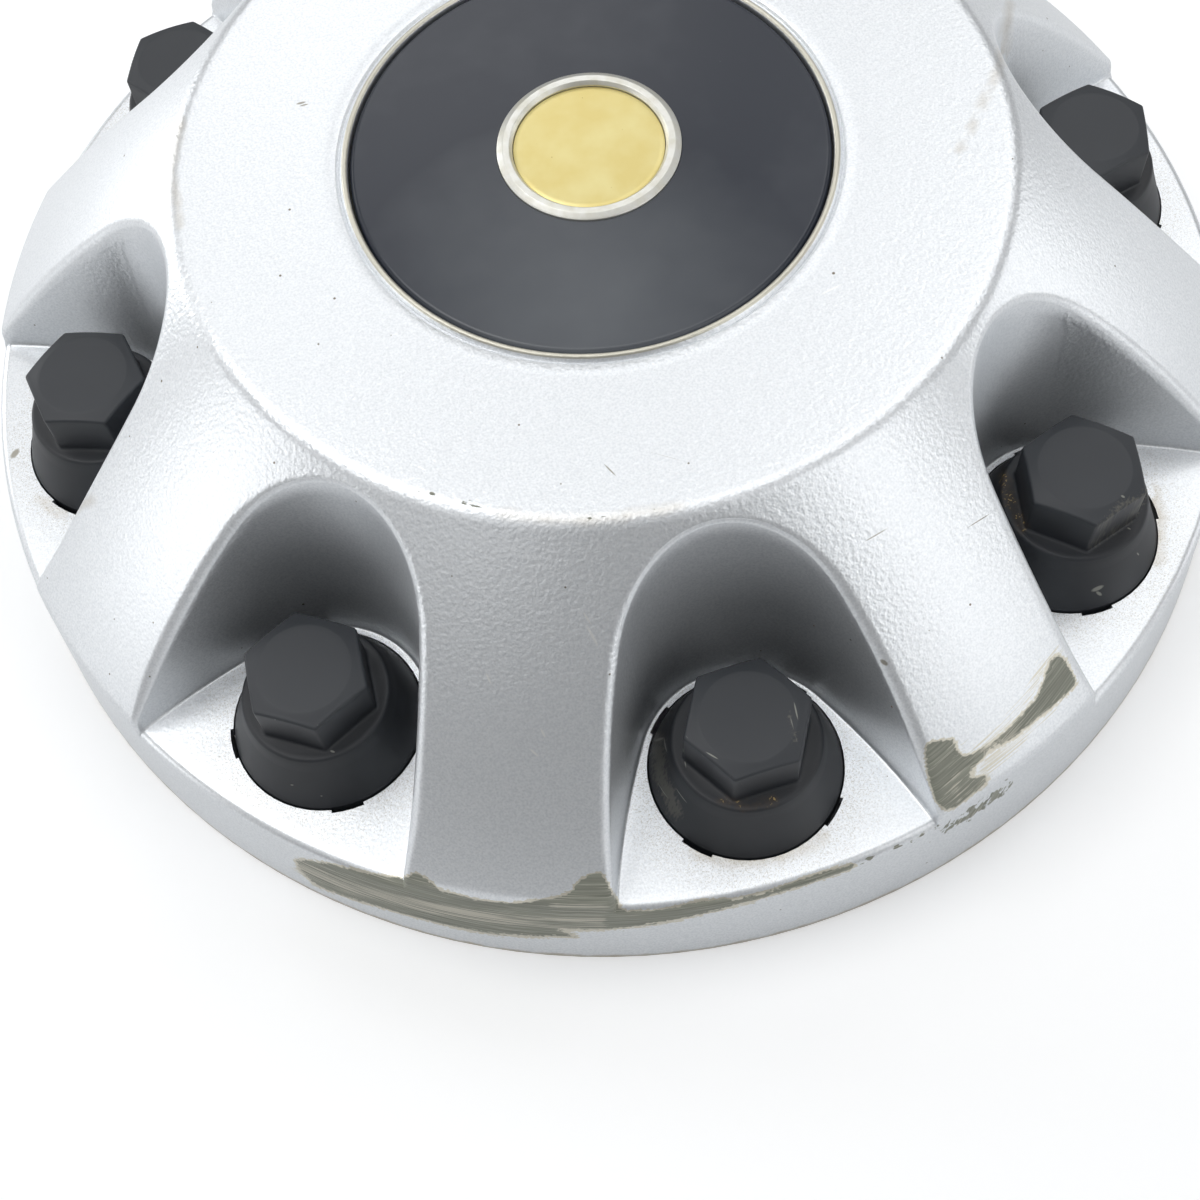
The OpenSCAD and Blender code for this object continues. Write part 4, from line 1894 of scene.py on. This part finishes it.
def weighed(
    tree: NodeTree, first: NodeSocket, start: float, full: float, share: float = 1.0,
    *more: tuple[NodeSocket, float],
) -> NodeSocket:
    """Tells how much of a coat shows, from signs that are added up.

    Args:
        tree: The material's tree.
        first: The first sign.
        start: The sum at which the coat begins to show.
        full: The sum at which it shows most.
        share: How much shows there.
        more: Other signs, each with its weight.

    Returns:
        The socket that gives how much shows.
    """
    whole = first
    for sign, weight in more:
        feeds = {0: sign, 1: weight, 2: whole}
        whole = add_node(tree, "ShaderNodeMath", feeds, operation="MULTIPLY_ADD").outputs[0]
    feeds = {0: whole, 1: start, 2: full, 4: share}
    return add_node(tree, "ShaderNodeMapRange", feeds).outputs[0]


def coated(tree: NodeTree, ground: str, *coats: tuple[NodeSocket, object]) -> NodeSocket:
    """Lays coats over one another.

    Args:
        tree: The material's tree.
        ground: The hex colour under all of them.
        coats: For each, from the lowest up, how much of it shows and its colour, in hex or a socket.

    Returns:
        The socket that gives the colour.
    """
    under = linear(ground)
    for shown, colour in coats:
        over = linear(colour) if isinstance(colour, str) else colour
        feeds = {0: shown, 6: under, 7: over}
        under = add_node(tree, "ShaderNodeMix", feeds, data_type="RGBA").outputs[2]
    return under


def flecks(
    tree: NodeTree, where: NodeSocket, size: float, radius: float, share: float
) -> tuple[NodeSocket, NodeSocket]:
    """Scatters round dots.

    Args:
        tree: The material's tree.
        where: The object's coordinates.
        size: Distance between neighbours, millimetres.
        radius: Radius of the largest dots, millimetres.
        share: Share of the places that have a dot.

    Returns:
        The socket that is 1 in a dot and 0 elsewhere, and a number that is random for each dot.
    """
    soft_edge = 0.2
    cells = add_node(tree, "ShaderNodeTexVoronoi", {"Vector": where, "Scale": 1 / (size * MM)})
    chance, tint = add_node(tree, "ShaderNodeSeparateColor", {0: cells.outputs["Color"]}).outputs[:2]
    feeds = {0: weighed(tree, chance, 1 - share, 1, radius / size), 1: cells.outputs["Distance"]}
    inside = add_node(tree, "ShaderNodeMath", feeds, operation="SUBTRACT").outputs[0]
    return weighed(tree, inside, 0, soft_edge * radius / size), tint


def scratched(
    tree: NodeTree, where: NodeSocket, scratches: Sequence[Scratch], sight: Sight
) -> NodeSocket:
    """Draws thin scratches that taper at both ends, each a long slim ellipsoid on the surface.

    Args:
        tree: The material's tree.
        where: The object's coordinates.
        scratches: The scratches.
        sight: The photograph's view, which tells where they lie.

    Returns:
        The socket that is 1 in a scratch and 0 elsewhere.
    """
    edge, core = 1.0, 0.6
    nearest = 2.0
    for scratch in scratches:
        start, end = sight.at(scratch.start), sight.at(scratch.end)
        half = scratch.width * MM / 2
        feeds = {
            "Vector": where, "Location": (start + end) / 2,
            "Rotation": (end - start).to_track_quat("X", "Z").to_euler(),
            "Scale": ((end - start).length / 2 + half, half, half),
        }
        placed = add_node(tree, "ShaderNodeMapping", feeds, vector_type="TEXTURE").outputs[0]
        away = add_node(tree, "ShaderNodeVectorMath", {0: placed}, operation="LENGTH")
        feeds = {0: away.outputs["Value"], 1: nearest}
        nearest = add_node(tree, "ShaderNodeMath", feeds, operation="MINIMUM").outputs[0]
    return weighed(tree, nearest, edge, core)


def streaked(tree: NodeTree, along: NodeSocket, lengths: Sequence[float]) -> NodeSocket:
    """Draws noise out into streaks.

    Args:
        tree: The material's tree.
        along: The coordinates that the streaks follow.
        lengths: Size of the streaks along each of them.

    Returns:
        The socket that gives numbers round 0.5.
    """
    feeds = {0: along, 1: tuple(1 / length for length in lengths)}
    drawn = add_node(tree, "ShaderNodeVectorMath", feeds, operation="MULTIPLY").outputs[0]
    return add_node(tree, "ShaderNodeTexNoise", {"Vector": drawn, "Scale": 1, "Detail": 2}).outputs[0]


@dataclass(frozen=True)
class SilverPaint:
    """Sprayed silver metallic paint with orange peel, pitted, and rubbed off at the rim.

    Where it is gone the grey-green moulding shows, streaked, with torn cream edges of primer.
    """

    # Fine flake gives the eye a pale, broad gloss that falls off fast on walls turned from the light
    colour: str = "#eceff2"
    shade: str = "#dde1e5"
    primer: str = "#d6d2c4"
    plastic: str = "#a0a295"
    plastic_dark: str = "#7e8075"
    dust: str = "#b9b6ae"
    pit: str = "#7d766b"
    rust: str = "#a9805a"
    brown: str = "#a08d66"
    bead: str = "#cbc8bb"
    pale_scratch: str = "#f4f5f4"
    dark_scratch: str = "#a09d94"
    metallic: float = 0.75
    roughness: float = 0.38
    plastic_roughness: float = 0.6

    def build(self, sight: Sight) -> Material:
        """Makes the material, with its scratches where the photograph shows them.

        Args:
            sight: The photograph's view of the pieces.

        Returns:
            The material.
        """
        made, tree, shader = new_material("silver_metallic_paint")
        fields = ["bead", "grit", "peel", *(wear.value for wear in Wear)]
        grains = {"flake": (0.35, 1), "dots": (0.22, 1), "ragged": (0.7, 3), "broad": (3, 2)}
        seen = patterns(tree, fields, **grains, nicks=(1.6, 2), peeled=(0.65, 1))
        where, broad = seen["where"], seen["broad"]
        rub = add_node(tree, "ShaderNodeAttribute", attribute_name="rub").outputs["Vector"]
        long, short = streaked(tree, rub, (16, 0.5, 1)), streaked(tree, rub, (3, 0.5, 1))
        fine, torn = streaked(tree, rub, (9, 0.28, 1)), streaked(tree, rub, (20, 0.3, 1))

        depth, ragged = seen[Wear.BARE.value], ((seen["ragged"], 0.8), (long, 0.8))
        through = weighed(tree, depth, 0.8, 0.9, 1, *ragged)
        chips = ((seen["nicks"], 3), (short, 1.5))
        feeds = {0: through, 1: weighed(tree, seen[Wear.NICKED.value], 2.75, 2.85, 1, *chips)}
        gone = add_node(tree, "ShaderNodeMath", feeds, operation="MAXIMUM").outputs[0]
        feeds = {0: weighed(tree, seen["dots"], 0.5, 0.72, 0.8), 1: seen["grit"]}
        dust_and_paler_top = add_node(tree, "ShaderNodeMath", feeds, operation="MULTIPLY").outputs[0]
        specks, tint = flecks(tree, where, 3.4, 0.24, 0.5)
        moulded = coated(
            tree, self.plastic_dark, (weighed(tree, long, 0.3, 0.7), self.plastic),
            (weighed(tree, fine, 0.6, 0.68, 0.7), self.primer),
        )
        # Brown towards the band's bottom edge, within about a millimetre of the floor
        foot = weighed(tree, seen["height"], 0.4 * MM, -0.5 * MM, 0.6, (broad, -1.6 * MM))
        colour = coated(
            tree, self.colour, (weighed(tree, seen["flake"], 0.35, 0.7), self.shade),
            (dust_and_paler_top, self.dust),
            (specks, coated(tree, self.pit, (weighed(tree, tint, 0.9, 0.92), self.rust))),
            (seen["bead"], self.bead), (foot, self.brown),
            (weighed(tree, seen[Wear.STAINED.value], 0.3, 2.4, 0.5, (broad, 1.6)), self.brown),
            (scratched(tree, where, PALE_SCRATCHES, sight), self.pale_scratch),
            (scratched(tree, where, DARK_SCRATCHES, sight), self.dark_scratch),
            (weighed(tree, depth, 0.5, 0.58, 1, *ragged), self.primer), (gone, moulded),
            (weighed(tree, seen[Wear.TORN.value], 3.72, 4, 0.9, (torn, 7)), self.primer),
        )
        feeds = {0: gone, 3: self.metallic, 4: 0}
        metallic = add_node(tree, "ShaderNodeMapRange", feeds).outputs[0]
        feeds = {0: gone, 3: self.roughness, 4: self.plastic_roughness}
        roughness = add_node(tree, "ShaderNodeMapRange", feeds).outputs[0]
        feeds = {0: seen["peeled"], 1: seen["peel"]}
        peel = add_node(tree, "ShaderNodeMath", feeds, operation="MULTIPLY").outputs[0]
        feeds = {"Height": peel, "Strength": 0.7, "Distance": 0.1 * MM}
        bump = add_node(tree, "ShaderNodeBump", feeds).outputs[0]
        looks = {"Base Color": colour, "Metallic": metallic, "Roughness": roughness, "Normal": bump}
        feed(tree, shader, looks)
        return made


@dataclass(frozen=True)
class BarePlastic:
    """Moulded grey-green plastic as it left the mould, on the unpainted underside: dull, even."""

    # The mould's own skin gives the eye an even, dull surface with hardly any gloss
    colour: str = "#6f7066"
    pale: str = "#77786d"

    def build(self) -> Material:
        """Makes the material.

        Returns:
            The material.
        """
        made, tree, shader = new_material("moulded_plastic_unpainted")
        seen = patterns(tree, clouds=(9, 2), skin=(0.5, 2))
        colour = coated(tree, self.colour, (weighed(tree, seen["clouds"], 0.35, 0.65), self.pale))
        feeds = {"Height": seen["skin"], "Strength": 0.2, "Distance": 0.03 * MM}
        bump = add_node(tree, "ShaderNodeBump", feeds).outputs[0]
        feed(tree, shader, {"Base Color": colour, "Roughness": 0.62, "Normal": bump})
        return made


@dataclass(frozen=True)
class BlackNylon:
    """Matt charcoal nylon, smooth from the mould, with rubbed and grimy places."""

    # Soot-coloured nylon gives the eye a soft, even sheen; its colour is paler higher up, over the heads
    colour: str = "#212429"
    cloudy: str = "#26292e"
    dust_and_paler_top: str = "#3b3f44"
    rubbed: str = "#6d6a60"
    grime: str = "#4c3c2b"
    grain: str = "#b59c62"
    lint: str = "#8d8f8e"
    scratch: str = "#85867f"
    paler_from: float = 34.0
    paler_to: float = 46.0

    def build(self, sight: Sight) -> Material:
        """Makes the material, with its flecks where the photograph shows them.

        Args:
            sight: The photograph's view of the pieces.

        Returns:
            The material.
        """
        made, tree, shader = new_material("moulded_charcoal_nylon")
        grains = {"clouds": (9, 2), "patches": (1.1, 4), "sand": (0.35, 0), "skin": (0.3, 2)}
        seen = patterns(tree, [Wear.RUBBED.value, Wear.GRIMY.value], **grains)
        where, grimy = seen["where"], seen[Wear.GRIMY.value]
        upright = streaked(tree, where, (0.4 * MM, 0.4 * MM, 3 * MM))
        patches = (seen["patches"], 3)
        feeds = {0: weighed(tree, seen["sand"], 0.6, 0.66), 1: weighed(tree, grimy, 2, 2.5, 1, patches)}
        grains = add_node(tree, "ShaderNodeMath", feeds, operation="MULTIPLY").outputs[0]
        colour = coated(
            tree, self.colour, (weighed(tree, seen["clouds"], 0.35, 0.7), self.cloudy),
            # Paler grey from 34 to 46 mm up, over the caps' heads, whichever way the surface faces
            (weighed(tree, seen["height"], self.paler_from * MM, self.paler_to * MM), self.dust_and_paler_top),
            (weighed(tree, seen[Wear.RUBBED.value], 1.6, 2.4, 0.5, (upright, 3)), self.rubbed),
            (weighed(tree, grimy, 1.3, 2.6, 0.5, patches), self.grime), (grains, self.grain),
            (flecks(tree, where, 7, 0.12, 0.5)[0], self.lint),
            (scratched(tree, where, CAP_FLECKS, sight), self.scratch),
        )
        feeds = {"Height": seen["skin"], "Strength": 0.15, "Distance": 0.02 * MM}
        bump = add_node(tree, "ShaderNodeBump", feeds).outputs[0]
        feed(tree, shader, {"Base Color": colour, "Roughness": 0.5, "Normal": bump})
        return made


@dataclass(frozen=True)
class BadgeLacquer:
    """Satin blue-black lacquer over moulded plastic, with a painted sheen towards its front rim, and dust.
    """

    # A thin satin coat gives the eye a deep blue-black; the pale patch towards its front rim is painted
    # sheen
    colour: str = "#232935"
    # The pale grey of the painted sheen comes after the ground colour
    painted_sheen: str = "#63676c"
    dust: str = "#8b8f92"
    sheen_at: tuple[float, float, float] = (-9.0, -26.0, 60.0)
    sheen_r: float = 34.0
    sheen_core: float = 2.0

    def build(self) -> Material:
        """Makes the material.

        Returns:
            The material.
        """
        made, tree, shader = new_material("satin_black_lacquer")
        seen = patterns(tree, clouds=(14, 3))
        feeds = {0: seen["where"], 1: tuple(x * MM for x in self.sheen_at)}
        away = add_node(tree, "ShaderNodeVectorMath", feeds, operation="DISTANCE").outputs["Value"]
        # Painted sheen: a pale grey that fades out from a point near the badge's front rim
        near = weighed(tree, away, self.sheen_r * MM, self.sheen_core * MM, 0.9)
        colour = coated(
            tree, self.colour, (weighed(tree, near, 0.25, 1.2, 1, (seen["clouds"], 0.5)), self.painted_sheen),
            (flecks(tree, seen["where"], 6, 0.14, 0.35)[0], self.dust),
        )
        feed(tree, shader, {"Base Color": colour, "Roughness": 0.3})
        return made


@dataclass(frozen=True)
class SatinSilver:
    """Satin silver plating on plastic: pale, finely grained, and tarnished in faint clouds."""

    # A matt nickel-like skin gives the eye a soft white gleam with cream clouds
    colour: str = "#e2e2dc"
    tarnish: str = "#cfccbd"

    def build(self) -> Material:
        """Makes the material.

        Returns:
            The material.
        """
        made, tree, shader = new_material("satin_silver_plating")
        seen = patterns(tree, clouds=(2.2, 3), skin=(0.3, 2))
        cloudy = weighed(tree, seen["clouds"], 0.42, 0.75, 0.8)
        colour = coated(tree, self.colour, (cloudy, self.tarnish))
        feeds = {0: seen["clouds"], 1: 0.3, 2: 0.7, 3: 0.36, 4: 0.48}
        dulled = add_node(tree, "ShaderNodeMapRange", feeds).outputs[0]
        feeds = {"Height": seen["skin"], "Strength": 0.2, "Distance": 0.02 * MM}
        bump = add_node(tree, "ShaderNodeBump", feeds).outputs[0]
        looks = {"Base Color": colour, "Metallic": 0.7, "Roughness": dulled, "Normal": bump}
        feed(tree, shader, looks)
        return made


@dataclass(frozen=True)
class GoldFoil:
    """Brushed pale gold foil under a thin lacquer."""

    # Foil under lacquer gives the eye a pale straw yellow, cloudy, with a few worn specks
    colour: str = "#dccb86"
    pale: str = "#e3d79a"
    worn: str = "#b79f62"

    def build(self) -> Material:
        """Makes the material.

        Returns:
            The material.
        """
        made, tree, shader = new_material("brushed_gold_foil")
        seen = patterns(tree, clouds=(6, 3))
        colour = coated(
            tree, self.colour, (weighed(tree, seen["clouds"], 0.35, 0.7), self.pale),
            (flecks(tree, seen["where"], 1.4, 0.16, 0.3)[0], self.worn),
        )
        feed(tree, shader, {"Base Color": colour, "Metallic": 0.6, "Roughness": 0.4})
        return made


@dataclass(frozen=True)
class Lamp:
    """A soft round lamp: its heading from +X and its height in degrees, its power in watts."""

    heading: float
    height: float
    power: float


@dataclass(frozen=True)
class Studio:
    """The pale floor, the soft lamps and the camera."""

    lamps: tuple[Lamp, ...] = (
        Lamp(0, 14, 5.0),
        Lamp(135, 14, 10.5),
        Lamp(180, 14, 6.2),
        Lamp(315, 14, 4.8),
        Lamp(45, 42, 3.9),
        Lamp(90, 42, 5.1),
        Lamp(225, 42, 1.6),
        Lamp(315, 42, 5.0),
        Lamp(30, 64, 4.4),
        Lamp(150, 64, 10.1),
        Lamp(210, 64, 2.3),
        Lamp(0, 88, 4.1),
    )
    lamp_size: float = 1.1
    lamp_distance: float = 2.0
    floor_colour: str = "#f2f3f4"
    floor_glow: float = 0.28
    glow_from: float = 0.3
    glow_to: float = 1.2
    floor_half: float = 6.0
    mirrored: float = 0.2
    white: tuple[float, float, float, float] = (1, 1, 1, 1)
    view: View = View()

    def seen(self, tree: NodeTree) -> NodeSocket:
        """Tells how much of its white a backdrop shows: all to the camera, a share in reflections.

        Args:
            tree: The backdrop's tree.

        Returns:
            The socket that gives how much shows.
        """
        path = add_node(tree, "ShaderNodeLightPath").outputs
        shown = path["Is Glossy Ray"]
        for other, operation in (
            (path["Is Transmission Ray"], "MAXIMUM"),
            (self.mirrored, "MULTIPLY"),
            (path["Is Camera Ray"], "MAXIMUM"),
        ):
            feeds = {0: shown, 1: other}
            shown = add_node(tree, "ShaderNodeMath", feeds, operation=operation).outputs[0]
        return shown

    def camera(self) -> None:
        """Puts the camera where the photograph was taken from."""
        data = bpy.data.cameras.new("camera")
        data.lens = self.view.lens
        data.sensor_width = self.view.sensor
        data.clip_start = 0.01
        eye = bpy.data.objects.new("camera", data)
        placed = np.eye(4)
        placed[:3, :3] = self.view.axes().T
        placed[:3, 3] = np.array(self.view.at) * MM
        eye.matrix_world = Matrix(placed.tolist())
        bpy.context.scene.collection.objects.link(eye)
        bpy.context.scene.camera = eye

    def hang(self, lamp: Lamp) -> None:
        """Hangs one soft lamp that faces the object.

        Args:
            lamp: The lamp.
        """
        heading, height = math.radians(lamp.heading), math.radians(lamp.height)
        level = math.cos(height)
        place_at = Vector((level * math.cos(heading), level * math.sin(heading), math.sin(height)))
        data = bpy.data.lights.new("lamp", "AREA")
        data.shape = "DISK"
        data.size = self.lamp_size
        data.energy = lamp.power
        made = bpy.data.objects.new("lamp", data)
        made.location = place_at * self.lamp_distance
        made.rotation_euler = place_at.to_track_quat("Z", "Y").to_euler()
        bpy.context.scene.collection.objects.link(made)

    def floor(self) -> None:
        """Lays the pale floor, which keeps the shadow and grows white to the camera farther out."""
        made, tree, shader = new_material("pale_paper_floor")
        where = add_node(tree, "ShaderNodeTexCoord").outputs["Object"]
        away = add_node(tree, "ShaderNodeVectorMath", {0: where}, operation="LENGTH").outputs["Value"]
        feeds = {0: away, 1: self.glow_from, 2: self.glow_to, 3: self.floor_glow}
        glow = add_node(tree, "ShaderNodeMapRange", feeds).outputs[0]
        feeds = {0: self.seen(tree), 1: glow}
        shown = add_node(tree, "ShaderNodeMath", feeds, operation="MULTIPLY").outputs[0]
        looks = {"Base Color": linear(self.floor_colour), "Roughness": 0.9}
        feed(tree, shader, looks | {"Emission Color": self.white, "Emission Strength": shown})
        half = self.floor_half
        corners = [(-half, -half, 0), (half, -half, 0), (half, half, 0), (-half, half, 0)]
        mesh = bpy.data.meshes.new("floor")
        mesh.from_pydata(corners, [], [(0, 1, 2, 3)])
        mesh.materials.append(made)
        piece = place("floor", mesh)

    def build(self) -> None:
        """Sets up everything round the object."""
        self.camera()
        self.floor()
        for lamp in self.lamps:
            self.hang(lamp)
        world = bpy.data.worlds.new("studio")
        world.use_nodes = True
        tree = world.node_tree
        feed(tree, tree.nodes["Background"], {"Color": self.white, "Strength": self.seen(tree)})
        bpy.context.scene.world = world
        bpy.context.scene.view_settings.view_transform = "Standard"


def finish_piece(piece: Object, body: str, node: str, slot: str, *finishes: Material) -> None:
    """Gives a piece its materials and ties it to the frame.

    Args:
        piece: The finished piece.
        body: The body it moves with.
        node: The CAD node it stands for.
        slot: The record's material slot.
        finishes: Its materials, in order.
    """
    for finish in finishes:
        piece.data.materials.append(finish)
    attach(piece, body)
    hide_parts(node)
    log.info("%s rides %s as %s: %d faces", piece.name, body, slot, len(piece.data.polygons))


def main() -> None:
    """Builds the cap, dresses it and reports each piece."""
    logging.basicConfig(level=logging.INFO, format="%(message)s")
    studio = Studio()
    studio.build()
    shell = Shell().build()
    caps = [NutCap(number) for number in range(1, len(STUDS) + 1)]
    cap_pieces = [cap.build() for cap in caps]
    sight = Sight(studio.view, [shell, *cap_pieces])
    wear_down(shell.data, SHELL_MARKS, sight)
    paint = SilverPaint().build(sight)
    finish_piece(shell, "shell", "cap_shell", "silver_paint", paint, BarePlastic().build())
    badge = Badge()
    finish_piece(badge.disc(), "shell", "badge_disc", "badge_black", BadgeLacquer().build())
    finish_piece(badge.border(), "shell", "badge_border", "badge_silver", SatinSilver().build())
    finish_piece(badge.inlay(), "shell", "badge_inlay", "badge_gold", GoldFoil().build())
    nylon = BlackNylon().build(sight)
    for cap, piece in zip(caps, cap_pieces):
        wear_down(piece.data, CAP_MARKS, sight)
        finish_piece(piece, cap.node, cap.node, "nut_black", nylon)


if __name__ == "__main__":
    main()
